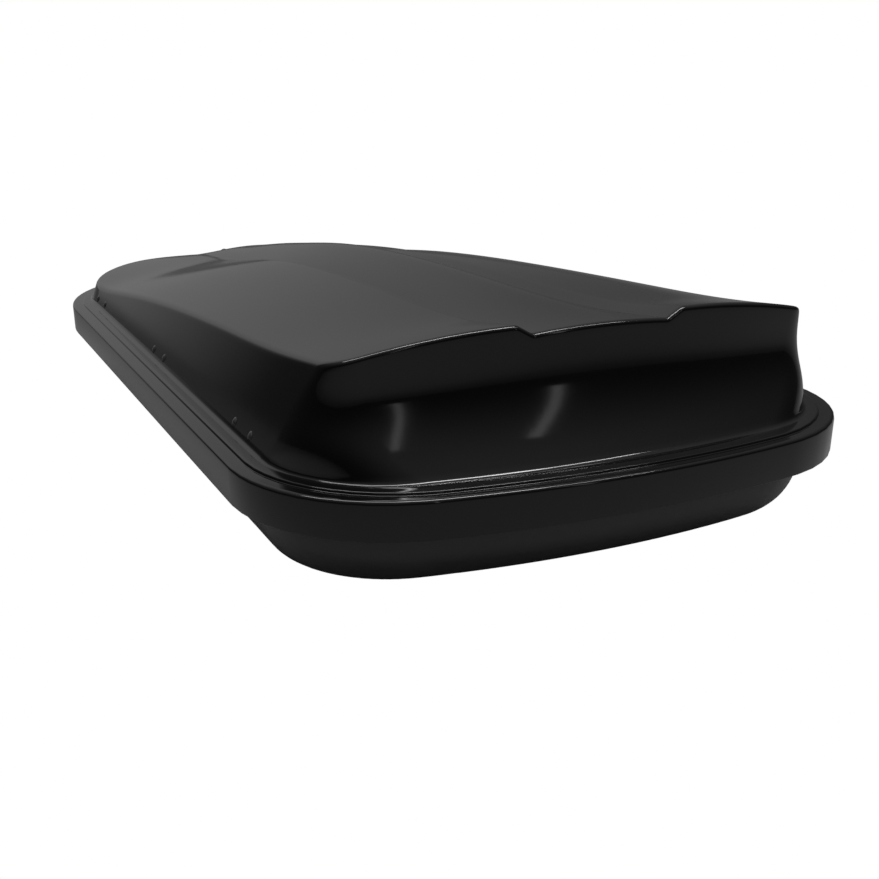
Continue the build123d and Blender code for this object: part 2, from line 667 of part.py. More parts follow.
def hinge_pin(x):
    """A hinge's pin, held in the base's knuckles, with a head at each end."""
    half = LID_KNUCKLE_LENGTH / 2 + KNUCKLE_GAP + BASE_KNUCKLE_LENGTH
    ends = [(x - half - HINGE_PIN_HEAD, x - half), (x + half, x + half + HINGE_PIN_HEAD)]
    pieces = [rod((x - half, HINGE_Y, HINGE_Z), (x + half, HINGE_Y, HINGE_Z), HINGE_PIN_R)]
    for x0, x1 in ends:
        pieces.append(rod((x0, HINGE_Y, HINGE_Z), (x1, HINGE_Y, HINGE_Z), HINGE_PIN_R + HINGE_PIN_HEAD))
    return joined(pieces)


def rim_seal():
    """The rubber seal on the base's rim, parted where the hinge leaves cross it."""
    top = Z_FLANGE - LID_SHEET - SEAL_GAP
    ring = rim_prism(SEAL_INSET, Z_RIM, top) - rim_prism(SEAL_INSET + SEAL_WIDTH, Z_RIM - 1, top + 1)
    reach = LID_KNUCKLE_LENGTH / 2 + KNUCKLE_GAP + BASE_KNUCKLE_LENGTH + NOTCH_PLAY
    for x in STATIONS:
        ring = ring - block((x - reach, x + reach), (0, HALF_WIDTH), (Z_RIM - 1, top + 1))
    return ring


def rail(y):
    """A steel hat rail on the floor, slotted like the floor under it."""
    half = RAIL_WIDTH / 2
    bar = block((-RAIL_END, RAIL_END), (y - half, y + half), (Z_FLOOR, Z_RAIL))
    bar = bar - block((-RAIL_END - 1, RAIL_END + 1), (y - half + RAIL_SHEET, y + half - RAIL_SHEET),
                      (Z_FLOOR - 1, Z_RAIL - RAIL_SHEET))
    for x, slot_y in slot_places():
        if slot_y == y:
            bar = bar - slot_cut(x, y)
    return bar


# ---------------------------------------------------------------- lock
def bar_guide(x):
    """A guide on the base's wall that the lock bar slides through."""
    z0 = Z_BAR - BAR_HEIGHT / 2
    z1 = Z_BAR + BAR_HEIGHT / 2
    outer = -BASE_IN_Y
    inner = BAR_Y + BAR_THICKNESS + BAR_THICKNESS
    body = block((x - GUIDE_LENGTH / 2, x + GUIDE_LENGTH / 2), (outer, inner), (z0 - 4, z1 + 4))
    channel = block((x - GUIDE_LENGTH, x + GUIDE_LENGTH),
                    (BAR_Y - SLIDE_PLAY, BAR_Y + BAR_THICKNESS + SLIDE_PLAY),
                    (z0 - SLIDE_PLAY, z1 + SLIDE_PLAY))
    return body - channel


def lock_bar():
    """The sliding bar, with a fork for the lock's cam."""
    z0 = Z_BAR - BAR_HEIGHT / 2
    z1 = Z_BAR + BAR_HEIGHT / 2
    x0 = STATIONS[0] - GUIDE_OFFSET - BAR_OVERHANG
    x1 = STATIONS[-1] + BAR_OVERHANG
    y = (BAR_Y, BAR_Y + BAR_THICKNESS)
    bar = block((x0, x1), y, (z0, z1))
    fork_x = -BAR_TRAVEL / 2
    fork_half = CAM_PIN_R + CAM_PIN_PLAY + 4.0
    fork_low = cam_pin_z() - CAM_PIN_R
    fork = block((fork_x - fork_half, fork_x + fork_half), y, (fork_low, z0 + 1))
    slot_half = CAM_PIN_R + CAM_PIN_PLAY
    slot_top = Z_LOCK + CAM_REACH + CAM_PIN_R + CAM_PIN_PLAY
    slot = block((fork_x - slot_half, fork_x + slot_half), (y[0] - 1, y[1] + 1),
                 (fork_low - 1, slot_top))
    return bar + fork - slot


def cam_pin_z():
    """The cam pin's height at either end of its turn."""
    return Z_LOCK + CAM_REACH * cos(radians(LOCK_TURN_DEG / 2))


def latch_hook(x):
    """A hook welded to the bar: its toe passes over the catch's pin when the bar slides."""
    pin_z = Z_FLANGE - CATCH_PIN_DROP
    toe_low = pin_z + CATCH_PIN_R + HOOK_CLEARANCE
    toe_high = toe_low + HOOK_TOE_HEIGHT
    tip = x - CATCH_PIN_R - HOOK_GAP
    stem_front = tip - HOOK_TOE
    y = (BAR_Y + BAR_THICKNESS, BAR_Y + 2 * BAR_THICKNESS)
    stem = block((stem_front - HOOK_STEM, stem_front), y, (Z_BAR - BAR_HEIGHT / 2, toe_high))
    toe = block((stem_front - 1, tip), y, (toe_low, toe_high))
    return stem + toe


def lock_housing():
    """The lock's fixed housing, with a flange outside."""
    face = -BASE_WALL_Y - LOCK_BOSS_PROUD
    back = -BASE_IN_Y + LOCK_BOSS_BACK + LOCK_NUT
    body = rod((0, face, Z_LOCK), (0, back, Z_LOCK), LOCK_BODY_R)
    flange = rod((0, face - LOCK_FLANGE, Z_LOCK), (0, face, Z_LOCK), LOCK_FLANGE_R)
    bore = rod((0, face - LOCK_FLANGE - 1, Z_LOCK), (0, back + 1, Z_LOCK),
               LOCK_BARREL_R + LOCK_BARREL_PLAY)
    return body + flange - bore


def lock_nut():
    """The ring nut that holds the housing from inside."""
    start = -BASE_IN_Y + LOCK_BOSS_BACK
    ring = rod((0, start, Z_LOCK), (0, start + LOCK_NUT, Z_LOCK), LOCK_FLANGE_R)
    return ring - rod((0, start - 1, Z_LOCK), (0, start + LOCK_NUT + 1, Z_LOCK), LOCK_BODY_R)


def lock_barrel():
    """The turning barrel with its keyway and the spindle that carries the cam."""
    face = -BASE_WALL_Y - LOCK_BOSS_PROUD - LOCK_FLANGE
    back = -BASE_IN_Y + LOCK_BOSS_BACK + LOCK_NUT
    barrel = rod((0, face, Z_LOCK), (0, back - 1, Z_LOCK), LOCK_BARREL_R)
    spindle = rod((0, back - 1, Z_LOCK), (0, CAM_Y, Z_LOCK), LOCK_SPINDLE_R)
    keyway = block((-KEYWAY_WIDTH / 2, KEYWAY_WIDTH / 2), (face - 1, face + KEYWAY_DEPTH),
                   (Z_LOCK - KEYWAY_LENGTH / 2, Z_LOCK + KEYWAY_LENGTH / 2))
    return barrel + spindle - keyway


def lock_cam():
    """The cam on the spindle, whose pin works in the bar's fork."""
    pin_x = -BAR_TRAVEL / 2
    pin_z = cam_pin_z()
    y = (CAM_Y, CAM_Y + CAM_THICKNESS)
    hub = rod((0, y[0], Z_LOCK), (0, y[1], Z_LOCK), LOCK_SPINDLE_R + CAM_HUB)
    end = rod((pin_x, y[0], pin_z), (pin_x, y[1], pin_z), CAM_PIN_R + CAM_RIM)
    web_plane = Plane(origin=(pin_x / 2, (y[0] + y[1]) / 2, (Z_LOCK + pin_z) / 2),
                      x_dir=(pin_x, 0, pin_z - Z_LOCK), z_dir=(0, 1, 0))
    web = web_plane * Box(CAM_REACH, 2 * CAM_PIN_R + 3, CAM_THICKNESS)
    pin = rod((pin_x, BAR_Y, pin_z), (pin_x, y[0], pin_z), CAM_PIN_R)
    return joined([hub, end, web, pin])


# ---------------------------------------------------------------- gas struts
BASE_PIVOT = (HINGE_Y - STRUT_BASE_IN, HINGE_Z - STRUT_BASE_DOWN)
LID_PIVOT = (HINGE_Y - STRUT_LID_IN, HINGE_Z + STRUT_LID_UP)
STRUT_CLOSED = hypot(LID_PIVOT[0] - BASE_PIVOT[0], LID_PIVOT[1] - BASE_PIVOT[1])
TUBE_END = STRUT_CLOSED - STRUT_ROD_OUT


def strut_stroke():
    """How much a strut lengthens while the lid opens."""
    reach = hypot(STRUT_LID_IN, STRUT_LID_UP)
    angle = atan2(STRUT_LID_UP, STRUT_LID_IN) + radians(LID_OPEN_DEG)
    y = -reach * cos(angle) + STRUT_BASE_IN
    z = reach * sin(angle) + STRUT_BASE_DOWN
    return hypot(y, z) - STRUT_CLOSED


def along_strut(x, distance):
    """A point on a strut's axis, measured from its base pivot."""
    share = distance / STRUT_CLOSED
    y = BASE_PIVOT[0] + share * (LID_PIVOT[0] - BASE_PIVOT[0])
    z = BASE_PIVOT[1] + share * (LID_PIVOT[1] - BASE_PIVOT[1])
    return (x, y, z)


def strut_tube(x):
    """A gas strut's cylinder, with the eye that turns on the base's pin."""
    tube = rod(along_strut(x, STRUT_NECK), along_strut(x, TUBE_END), STRUT_TUBE_R)
    neck = rod(along_strut(x, 0), along_strut(x, STRUT_NECK), STRUT_ROD_R)
    half = STRUT_EYE_WIDTH / 2
    eye = rod((x - half, *BASE_PIVOT), (x + half, *BASE_PIVOT), STRUT_EYE_R)
    body = tube + neck + eye
    body = body - rod((x - half - 1, *BASE_PIVOT), (x + half + 1, *BASE_PIVOT),
                      STRUT_PIN_R + STRUT_PLAY)
    body = body - rod(along_strut(x, STRUT_NECK + STRUT_WALL_LOW),
                      along_strut(x, TUBE_END - STRUT_WALL_HIGH), STRUT_BORE_R)
    return body - rod(along_strut(x, TUBE_END - STRUT_WALL_HIGH - 1), along_strut(x, TUBE_END + 1),
                      STRUT_ROD_R + STRUT_PLAY)


def strut_rod(x):
    """A gas strut's rod with its piston inside and its eye beside the lid's pin."""
    inside = TUBE_END - STRUT_WALL_HIGH - strut_stroke() - STRUT_PISTON_LENGTH - STRUT_SPARE
    piston = rod(along_strut(x, inside), along_strut(x, inside + STRUT_PISTON_LENGTH), STRUT_PISTON_R)
    shaft = rod(along_strut(x, inside), along_strut(x, STRUT_CLOSED), STRUT_ROD_R)
    half = STRUT_EYE_WIDTH / 2
    eye = rod((x - half, *LID_PIVOT), (x + half, *LID_PIVOT), STRUT_EYE_R)
    return joined([piston, shaft, eye])


def strut_base_bracket(x):
    """A bracket on the wall with the pin that a strut's lower eye turns on."""
    half = STRUT_EYE_WIDTH / 2
    y, z = BASE_PIVOT
    plate_x = (x + BRACKET_STAND, x + BRACKET_STAND + BRACKET_SHEET)
    web = block(plate_x, (y - STRUT_EYE_R, BASE_IN_Y), (z - STRUT_EYE_R, z + STRUT_EYE_R))
    foot = block((plate_x[0], plate_x[0] + BRACKET_FOOT), (BASE_IN_Y - 2 * BRACKET_SHEET, BASE_IN_Y),
                 (z - BRACKET_FOOT / 2, z + BRACKET_FOOT / 2))
    pin = rod((x - half - 2, y, z), (plate_x[1], y, z), STRUT_PIN_R)
    return joined([web, foot, pin]) & BASE_HOLLOW


def strut_lid_bracket(x):
    """A bracket under the deck, formed to it, with the pin for a strut's upper eye."""
    half = STRUT_EYE_WIDTH / 2
    y, z = LID_PIVOT
    plate_x = (x + BRACKET_STAND, x + BRACKET_STAND + BRACKET_SHEET)
    tall = Z_FLANGE + DECK_CLEAR
    web = block(plate_x, (y - STRUT_EYE_R - 4, y + STRUT_EYE_R + 4), (z - STRUT_EYE_R, tall))
    web = web & DECK_INSIDE
    zone = block((plate_x[0], plate_x[0] + BRACKET_FOOT), (y - BRACKET_FOOT / 2, y + BRACKET_FOOT / 2),
                 (Z_FLANGE, tall))
    foot = (zone & DECK_INSIDE) - DECK_BELOW_FOOT
    pin = rod((x + half + OPEN_PIVOT_GAP, y, z), (plate_x[1], y, z), STRUT_PIN_R)
    return joined([web, foot, pin])


# ---------------------------------------------------------------- crossbar clamps
def kit_places():
    """Name, middle and side of each of the four U-bolt kits."""
    kits = []
    for end, x in (("rear", -SLOT_X + KIT_SHIFT), ("front", SLOT_X - KIT_SHIFT)):
        for side, y in (("left", RAIL_Y), ("right", -RAIL_Y)):
            kits.append((f"{end}_{side}", x, y))
    return kits


Z_CLAMP = Z_RAIL + SEAT_GAP                          # underside of the clamp plate
Z_KNOB = Z_CLAMP + CLAMP_THICKNESS + SEAT_GAP        # underside of the knobs


def ubolt(x, y):
    """A U-bolt that hangs through the slot with a leg each side of the crossbar."""
    half = UBOLT_WIDTH / 2
    top = Z_KNOB + KNOB_HEIGHT + THREAD_STUB
    corners = [(x - half, y, top), (x - half, y, SLEEVE_R), (x + half, y, SLEEVE_R), (x + half, y, top)]
    path = FilletPolyline(*corners, radius=UBOLT_BEND_R)
    profile = Plane(origin=corners[0], z_dir=(0, 0, -1)) * Circle(UBOLT_R)
    return sweep(profile, path=path)


def ubolt_sleeve(x, y):
    """The plastic sleeve on the U-bolt's straight bottom."""
    half = UBOLT_WIDTH / 2 - UBOLT_BEND_R
    tube = rod((x - half, y, SLEEVE_R), (x + half, y, SLEEVE_R), SLEEVE_R)
    return tube - rod((x - half - 1, y, SLEEVE_R), (x + half + 1, y, SLEEVE_R), UBOLT_R + SLEEVE_PLAY)


def clamp_plate(x, y):
    """The plate that bears on the rail, with a hole for each leg."""
    half = CLAMP_LENGTH / 2
    plate = block((x - half, x + half), (y - CLAMP_WIDTH / 2, y + CLAMP_WIDTH / 2),
                  (Z_CLAMP, Z_CLAMP + CLAMP_THICKNESS))
    upright = plate.edges().filter_by(Axis.Z)
    plate = fillet(upright, CLAMP_CORNER_R)
    for leg in (-UBOLT_WIDTH / 2, UBOLT_WIDTH / 2):
        plate = plate - rod((x + leg, y, 0), (x + leg, y, Z_FLANGE), UBOLT_R + SLEEVE_PLAY)
    return plate


def knob(x, y):
    """A star knob on a threaded leg."""
    core = Pos(x, y, Z_KNOB + KNOB_HEIGHT / 2) * Cylinder(KNOB_R - KNOB_LOBE_R, KNOB_HEIGHT)
    pieces = [core]
    for index in range(KNOB_LOBES):
        turn = 2 * pi * index / KNOB_LOBES
        lobe_x = x + (KNOB_R - KNOB_LOBE_R) * cos(turn)
        lobe_y = y + (KNOB_R - KNOB_LOBE_R) * sin(turn)
        pieces.append(rod((lobe_x, lobe_y, Z_KNOB + KNOB_SKIRT),
                          (lobe_x, lobe_y, Z_KNOB + KNOB_HEIGHT - KNOB_STEP),
                          KNOB_LOBE_R))
    body = joined(pieces)
    return body - rod((x, y, Z_KNOB - 1), (x, y, Z_KNOB + KNOB_HEIGHT + 1), UBOLT_R + KNOB_PLAY)


# ---------------------------------------------------------------- straps
def strap(x):
    """A luggage strap laid taut over the rails from anchor to anchor."""
    return block((x - STRAP_WIDTH / 2, x + STRAP_WIDTH / 2), (-STRAP_SPAN / 2, STRAP_SPAN / 2),
                 (Z_RAIL, Z_RAIL + STRAP_THICKNESS))


def strap_anchor(x, side):
    """An anchor on the floor that holds a strap's end."""
    y = side * STRAP_SPAN / 2
    body = block((x - ANCHOR_LENGTH / 2, x + ANCHOR_LENGTH / 2),
                 (y - ANCHOR_DEPTH / 2, y + ANCHOR_DEPTH / 2), (Z_FLOOR, Z_RAIL + 2 * STRAP_THICKNESS))
    return body - block((x - STRAP_WIDTH / 2, x + STRAP_WIDTH / 2), (-STRAP_SPAN / 2, STRAP_SPAN / 2),
                        (Z_RAIL, Z_RAIL + STRAP_THICKNESS))


def strap_buckle(x):
    """The buckle in the middle of a strap."""
    low = Z_RAIL - BUCKLE_HEIGHT / 2 + STRAP_THICKNESS / 2
    body = block((x - BUCKLE_WIDTH / 2, x + BUCKLE_WIDTH / 2), (-BUCKLE_LENGTH / 2, BUCKLE_LENGTH / 2),
                 (low, low + BUCKLE_HEIGHT))
    body = fillet(body.edges(), BUCKLE_EDGE_R)
    return body - strap(x)


# ---------------------------------------------------------------- write the pieces
node("lid_shell", lid_shell())
node("lid_hinge_leaves", group([lid_hinge_leaf(x) for x in STATIONS]))
node("lid_hinge_rivets", group([place * rivet(RIVET_LENGTH) for place in side_rivet_places(1)]))
node("lid_catches", group([lid_catch(x) for x in STATIONS]))
node("lid_catch_rivets", group([place * rivet(RIVET_LENGTH) for place in side_rivet_places(-1)]))
node("nose_plate", nose_plate())
NOSE_RIVET_LENGTH = LID_SHEET + NOSE_PLATE_SHEET + RIVET_TAIL
node("nose_rivets", group([place * rivet(NOSE_RIVET_LENGTH) for place in NOSE_PLACES]))
node("strut_lid_brackets", group([strut_lid_bracket(x) for x in STRUT_X]))

node("base_shell", base_shell())
node("rim_seal", rim_seal())
node("base_hinge_leaves", group([base_hinge_leaf(x) for x in STATIONS]))
node("hinge_pins", group([hinge_pin(x) for x in STATIONS]))
LEAF_RIVET_LENGTH = BASE_SHEET + LEAF_THICKNESS + RIVET_TAIL
node("base_hinge_rivets", group([
    place * rivet(LEAF_RIVET_LENGTH) for x in STATIONS for place in base_leaf_rivet_places(x)
]))
node("left_rail", rail(RAIL_Y))
node("right_rail", rail(-RAIL_Y))
node("lock_bar_guides", group([bar_guide(x - GUIDE_OFFSET) for x in STATIONS]))
node("lock_housing", lock_housing())
node("lock_nut", lock_nut())
node("strut_base_brackets", group([strut_base_bracket(x) for x in STRUT_X]))

node("lock_bar", lock_bar())
node("latch_hooks", group([latch_hook(x) for x in STATIONS]))
node("lock_barrel", lock_barrel())
node("lock_cam", lock_cam())

for end, x in zip(("rear", "front"), STRUT_X):
    node(f"{end}_strut_cylinder", strut_tube(x))
    node(f"{end}_strut_rod", strut_rod(x))

for name, x, y in kit_places():
    node(f"{name}_ubolt", ubolt(x, y))
    node(f"{name}_ubolt_sleeve", ubolt_sleeve(x, y))
    node(f"{name}_clamp_plate", clamp_plate(x, y))
    node(f"{name}_knob_rear", knob(x - UBOLT_WIDTH / 2, y))
    node(f"{name}_knob_front", knob(x + UBOLT_WIDTH / 2, y))

for end, x in zip(("rear", "front"), STRAP_X):
    node(f"{end}_strap", strap(x))
node("strap_anchors", group([strap_anchor(x, side) for x in STRAP_X for side in (-1, 1)]))
node("strap_buckles", group([strap_buckle(x) for x in STRAP_X]))
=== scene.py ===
"""Looks of the roof cargo box: gloss lid, grained base, metal and plastic fittings."""

import json
import logging
import math
from dataclasses import dataclass, field
from enum import Enum
from typing import Callable

import bmesh
import bpy
import numpy as np
from mathutils import Matrix, Vector


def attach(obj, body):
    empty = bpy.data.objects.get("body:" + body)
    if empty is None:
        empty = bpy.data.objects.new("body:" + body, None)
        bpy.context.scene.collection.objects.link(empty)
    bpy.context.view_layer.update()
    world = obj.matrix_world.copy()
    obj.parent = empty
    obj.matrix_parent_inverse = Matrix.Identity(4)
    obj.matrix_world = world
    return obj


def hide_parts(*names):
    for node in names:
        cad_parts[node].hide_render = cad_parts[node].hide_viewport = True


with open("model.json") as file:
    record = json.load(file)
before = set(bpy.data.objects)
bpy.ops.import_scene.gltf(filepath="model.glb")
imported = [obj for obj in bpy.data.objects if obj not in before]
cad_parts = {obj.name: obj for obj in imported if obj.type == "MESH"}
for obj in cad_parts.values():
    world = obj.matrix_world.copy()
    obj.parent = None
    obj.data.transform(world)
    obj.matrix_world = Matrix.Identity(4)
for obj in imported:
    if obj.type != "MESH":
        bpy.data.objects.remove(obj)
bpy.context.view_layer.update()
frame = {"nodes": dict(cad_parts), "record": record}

LOG = logging.getLogger("roof_box")
MM = 0.001
WHITE = (1.0, 1.0, 1.0, 1.0)

Curve = Callable[[np.ndarray], np.ndarray]


# --------------------------------------------------------------------- shader graph
class Socket:
    """A shader value that can be used in sums.

    Args:
        graph: The graph that the socket belongs to.
        socket: The Blender output socket.
    """

    def __init__(self, graph: "Graph", socket: bpy.types.NodeSocket) -> None:
        """Keep the graph and the socket."""
        self.graph = graph
        self.socket = socket

    def _maths(self, operation: str, *operands: "Socket | float") -> "Socket":
        """Add a Math node.

        Args:
            operation: The Math node's operation.
            operands: Sockets or numbers, in the node's order.

        Returns:
            The node's result.
        """
        settings = {"operation": operation}
        return self.graph.make("ShaderNodeMath", settings, dict(enumerate(operands)))

    def __add__(self, other: "Socket | float") -> "Socket":
        """The sum with another value."""
        return self._maths("ADD", self, other)

    def __radd__(self, other: float) -> "Socket":
        """A number plus the value."""
        return self._maths("ADD", other, self)

    def __sub__(self, other: "Socket | float") -> "Socket":
        """The value less another."""
        return self._maths("SUBTRACT", self, other)

    def __rsub__(self, other: float) -> "Socket":
        """A number less the value."""
        return self._maths("SUBTRACT", other, self)

    def __mul__(self, other: "Socket | float") -> "Socket":
        """The product with another value."""
        return self._maths("MULTIPLY", self, other)

    def __rmul__(self, other: float) -> "Socket":
        """A number times the value."""
        return self._maths("MULTIPLY", other, self)

    def __truediv__(self, other: "Socket | float") -> "Socket":
        """The value over another."""
        return self._maths("DIVIDE", self, other)

    def __rtruediv__(self, other: float) -> "Socket":
        """A number over the value."""
        return self._maths("DIVIDE", other, self)

    def __pow__(self, other: "Socket | float") -> "Socket":
        """The value to a power."""
        return self._maths("POWER", self, other)

    def __rpow__(self, other: float) -> "Socket":
        """A number to the value's power."""
        return self._maths("POWER", other, self)

    def sine(self) -> "Socket":
        """The sine of the value."""
        return self._maths("SINE", self)

    def clamp(self) -> "Socket":
        """The value held between 0 and 1."""
        return self.graph.make("ShaderNodeClamp", {}, {0: self})


class Graph:
    """A material's node tree, built through a single method.

    Args:
        tree: The node tree to fill.
    """

    def __init__(self, tree: bpy.types.NodeTree) -> None:
        """Take the tree and empty it."""
        self.tree = tree
        self.tree.nodes.clear()

    def node(self, kind: str, settings: dict, inputs: dict) -> bpy.types.Node:
        """Add a node.

        Args:
            kind: The node's type.
            settings: Properties to set on the node.
            inputs: Numbers, tuples or sockets by input name or index.

        Returns:
            The new node.
        """
        made = self.tree.nodes.new(kind)
        for name, value in settings.items():
            setattr(made, name, value)
        for name, value in inputs.items():
            if isinstance(value, Socket):
                self.tree.links.new(value.socket, made.inputs[name])
            else:
                made.inputs[name].default_value = value
        return made

    def make(self, kind: str, settings: dict, inputs: dict, output: int | str = 0) -> Socket:
        """Add a node and give one of its outputs.

        Args:
            kind: The node's type.
            settings: Properties to set on the node.
            inputs: Numbers, tuples or sockets by input name or index.
            output: Which output to give.

        Returns:
            The wrapped output.
        """
        return Socket(self, self.node(kind, settings, inputs).outputs[output])

    def place(self, scale: tuple[float, float, float] = (1.0, 1.0, 1.0)) -> Socket:
        """Object coordinates, stretched.

        Args:
            scale: How much each axis is stretched.

        Returns:
            The coordinates.
        """
        raw = self.make("ShaderNodeTexCoord", {}, {}, "Object")
        return self.make("ShaderNodeMapping", {}, {"Vector": raw, "Scale": scale})

    def parts(self, vector: Socket) -> tuple[Socket, Socket, Socket]:
        """The x, y and z of a vector.

        Args:
            vector: The vector.

        Returns:
            Its three parts.
        """
        cut = self.node("ShaderNodeSeparateXYZ", {}, {0: vector}).outputs
        return Socket(self, cut[0]), Socket(self, cut[1]), Socket(self, cut[2])

    def noise(self, vector: Socket, scale: float, detail: float, rough: float = 0.5) -> Socket:
        """Noise between 0 and 1.

        Args:
            vector: Coordinates.
            scale: Cycles per metre, roughly.
            detail: Octaves.
            rough: How strong the finer octaves are.

        Returns:
            The noise value.
        """
        inputs = {"Vector": vector, "Scale": scale, "Detail": detail, "Roughness": rough}
        return self.make("ShaderNodeTexNoise", {}, inputs)

    def bump(self, height: Socket, distance: float) -> Socket:
        """A bumped normal.

        Args:
            height: Height between 0 and 1.
            distance: What a height of 1 stands for, in metres.

        Returns:
            The normal.
        """
        inputs = {"Height": height, "Distance": distance, "Strength": 1.0}
        return self.make("ShaderNodeBump", {}, inputs)

    def shade(self, low: tuple[float, ...], high: tuple[float, ...], factor: Socket) -> Socket:
        """A colour between two.

        Args:
            low: Colour at 0.
            high: Colour at 1.
            factor: Where between them.

        Returns:
            The colour.
        """
        inputs = {0: factor, 6: (*low, 1.0), 7: (*high, 1.0)}
        return self.make("ShaderNodeMix", {"data_type": "RGBA"}, inputs, 2)

    def seen_white(self, unseen: Socket, kind: str) -> Socket:
        """A surface or sky that is white to the camera and its own self to all other light.

        Args:
            unseen: The shader for all other light.
            kind: The type of the white shader's node.

        Returns:
            The mixed shader.
        """
        white = self.make(kind, {}, {"Color": WHITE, "Strength": 1.0})
        seen = self.make("ShaderNodeLightPath", {}, {}, "Is Camera Ray")
        return self.make("ShaderNodeMixShader", {}, {0: seen, 1: unseen, 2: white})


# --------------------------------------------------------------------- finishes
class Surface(Enum):
    """How a finish's fine surface is made."""

    GLOSS = "gloss"
    GRAIN = "grain"
    MOULDED = "moulded"
    RUBBER = "rubber"
    METAL = "metal"
    COATED = "coated"
    WEBBING = "webbing"


@dataclass(frozen=True)
class Finish:
    """A procedural finish.

    Attributes:
        name: The material's name.
        surface: How its fine surface is made.
        low: Its darker colour.
        high: Its lighter colour.
        rough: Roughness, and how much it varies.
        bump: Height of the fine surface, in metres.
        scale: Fineness of the surface, in cycles per metre.
        metallic: How metallic it is.
        coat: Clear coat.
        coat_rough: Roughness of the clear coat.
        drift: Fineness of the slow change of colour and roughness, and its octaves.
        brushed: How far the metal's grain is drawn out along each axis.
    """

    name: str
    surface: Surface
    low: tuple[float, float, float]
    high: tuple[float, float, float]
    rough: tuple[float, float]
    bump: float
    scale: float
    metallic: float = 0.0
    coat: float = 0.0
    coat_rough: float = 0.03
    drift: tuple[float, float] = (9.0, 2.0)
    brushed: tuple[float, float, float] = (0.2, 1.0, 1.0)

    def _height(self, graph: Graph) -> Socket:
        """The fine surface's height: brushed, woven, slowly waved, or else evenly grained.

        Args:
            graph: The material's graph.

        Returns:
            Height between 0 and 1.
        """
        if self.surface is Surface.METAL:
            return graph.noise(graph.place(self.brushed), self.scale, detail=4.0)
        if self.surface is Surface.WEBBING:
            x, y, _ = graph.parts(graph.place())
            return ((x * self.scale).sine() * (y * self.scale).sine() + 1.0) * 0.5
        if self.surface is Surface.GLOSS:
            return graph.noise(graph.place(), self.scale, detail=1.0)
        return graph.noise(graph.place(), self.scale, detail=3.0, rough=0.6)

    def build(self) -> bpy.types.Material:
        """Make the material.

        Returns:
            The material.
        """
        material = bpy.data.materials.new(self.name)
        material.use_nodes = True
        graph = Graph(material.node_tree)
        drift = graph.noise(graph.place(), *self.drift)
        middle, swing = self.rough
        shader = graph.make("ShaderNodeBsdfPrincipled", {}, {
            "Base Color": graph.shade(self.low, self.high, drift),
            "Roughness": drift * swing + (middle - 0.5 * swing),
            "Metallic": self.metallic,
            "Coat Weight": self.coat,
            "Coat Roughness": self.coat_rough,
            "Normal": graph.bump(self._height(graph), self.bump),
        })
        graph.node("ShaderNodeOutputMaterial", {}, {"Surface": shader})
        return material


FINISHES: tuple[Finish, ...] = (
    Finish("gloss_black", Surface.GLOSS, (0.0022, 0.0020, 0.0023), (0.0034, 0.0031, 0.0035),
           rough=(0.09, 0.03), bump=0.000004, scale=160.0),
    Finish("grain_black", Surface.GRAIN, (0.028, 0.028, 0.029), (0.038, 0.038, 0.039),
           rough=(0.38, 0.08), bump=0.00006, scale=900.0),
    Finish("black_rubber", Surface.RUBBER, (0.012, 0.012, 0.012), (0.020, 0.020, 0.020),
           rough=(0.75, 0.10), bump=0.00006, scale=700.0),
    Finish("black_plastic", Surface.MOULDED, (0.018, 0.018, 0.019), (0.026, 0.026, 0.027),
           rough=(0.45, 0.10), bump=0.00006, scale=1400.0),
    Finish("zinc_steel", Surface.METAL, (0.52, 0.52, 0.50), (0.66, 0.66, 0.63),
           rough=(0.32, 0.12), bump=0.00003, scale=900.0, metallic=1.0),
    Finish("black_steel", Surface.COATED, (0.012, 0.012, 0.013), (0.018, 0.018, 0.019),
           rough=(0.30, 0.08), bump=0.00002, scale=500.0, coat=0.4),
    Finish("chrome_rod", Surface.METAL, (0.80, 0.80, 0.81), (0.88, 0.88, 0.89),
           rough=(0.10, 0.04), bump=0.000004, scale=900.0, metallic=1.0),
    Finish("rivet_black", Surface.COATED, (0.020, 0.020, 0.021), (0.030, 0.030, 0.031),
           rough=(0.30, 0.08), bump=0.00001, scale=600.0, coat=0.3),
    Finish("webbing", Surface.WEBBING, (0.020, 0.020, 0.022), (0.034, 0.034, 0.037),
           rough=(0.85, 0.08), bump=0.0003, scale=2600.0),
)


# --------------------------------------------------------------------- curves
def spline(xs: np.ndarray, ys: np.ndarray) -> Curve:
    """A smooth curve through points, with free ends.

    Args:
        xs: Rising places.
        ys: Values there, one row of several values for each place.

    Returns:
        A function that gives the curve's values at any places.
    """
    n = len(xs)
    step = np.diff(xs)
    rise = np.diff(ys, axis=0) / step[:, None]
    a = np.zeros((n, n))
    b = np.zeros_like(ys)
    a[0, 0], a[-1, -1] = 1.0, 1.0
    for i in range(1, n - 1):
        a[i, i - 1], a[i, i], a[i, i + 1] = step[i - 1], 2 * (step[i - 1] + step[i]), step[i]
        b[i] = 6 * (rise[i] - rise[i - 1])
    bend = np.linalg.solve(a, b)

    def curve(at: np.ndarray) -> np.ndarray:
        """The curve's values.

        Args:
            at: Places along it.

        Returns:
            A row of values for each place.
        """
        at = np.clip(at, xs[0], xs[-1])
        i = np.clip(np.searchsorted(xs, at) - 1, 0, n - 2)
        h, t = step[i][..., None], (at - xs[i])[..., None]
        first = rise[i] - h * (2 * bend[i] + bend[i + 1]) / 6
        return ys[i] + t * (first + t * (bend[i] / 2 + t * (bend[i + 1] - bend[i]) / (6 * h)))

    return curve


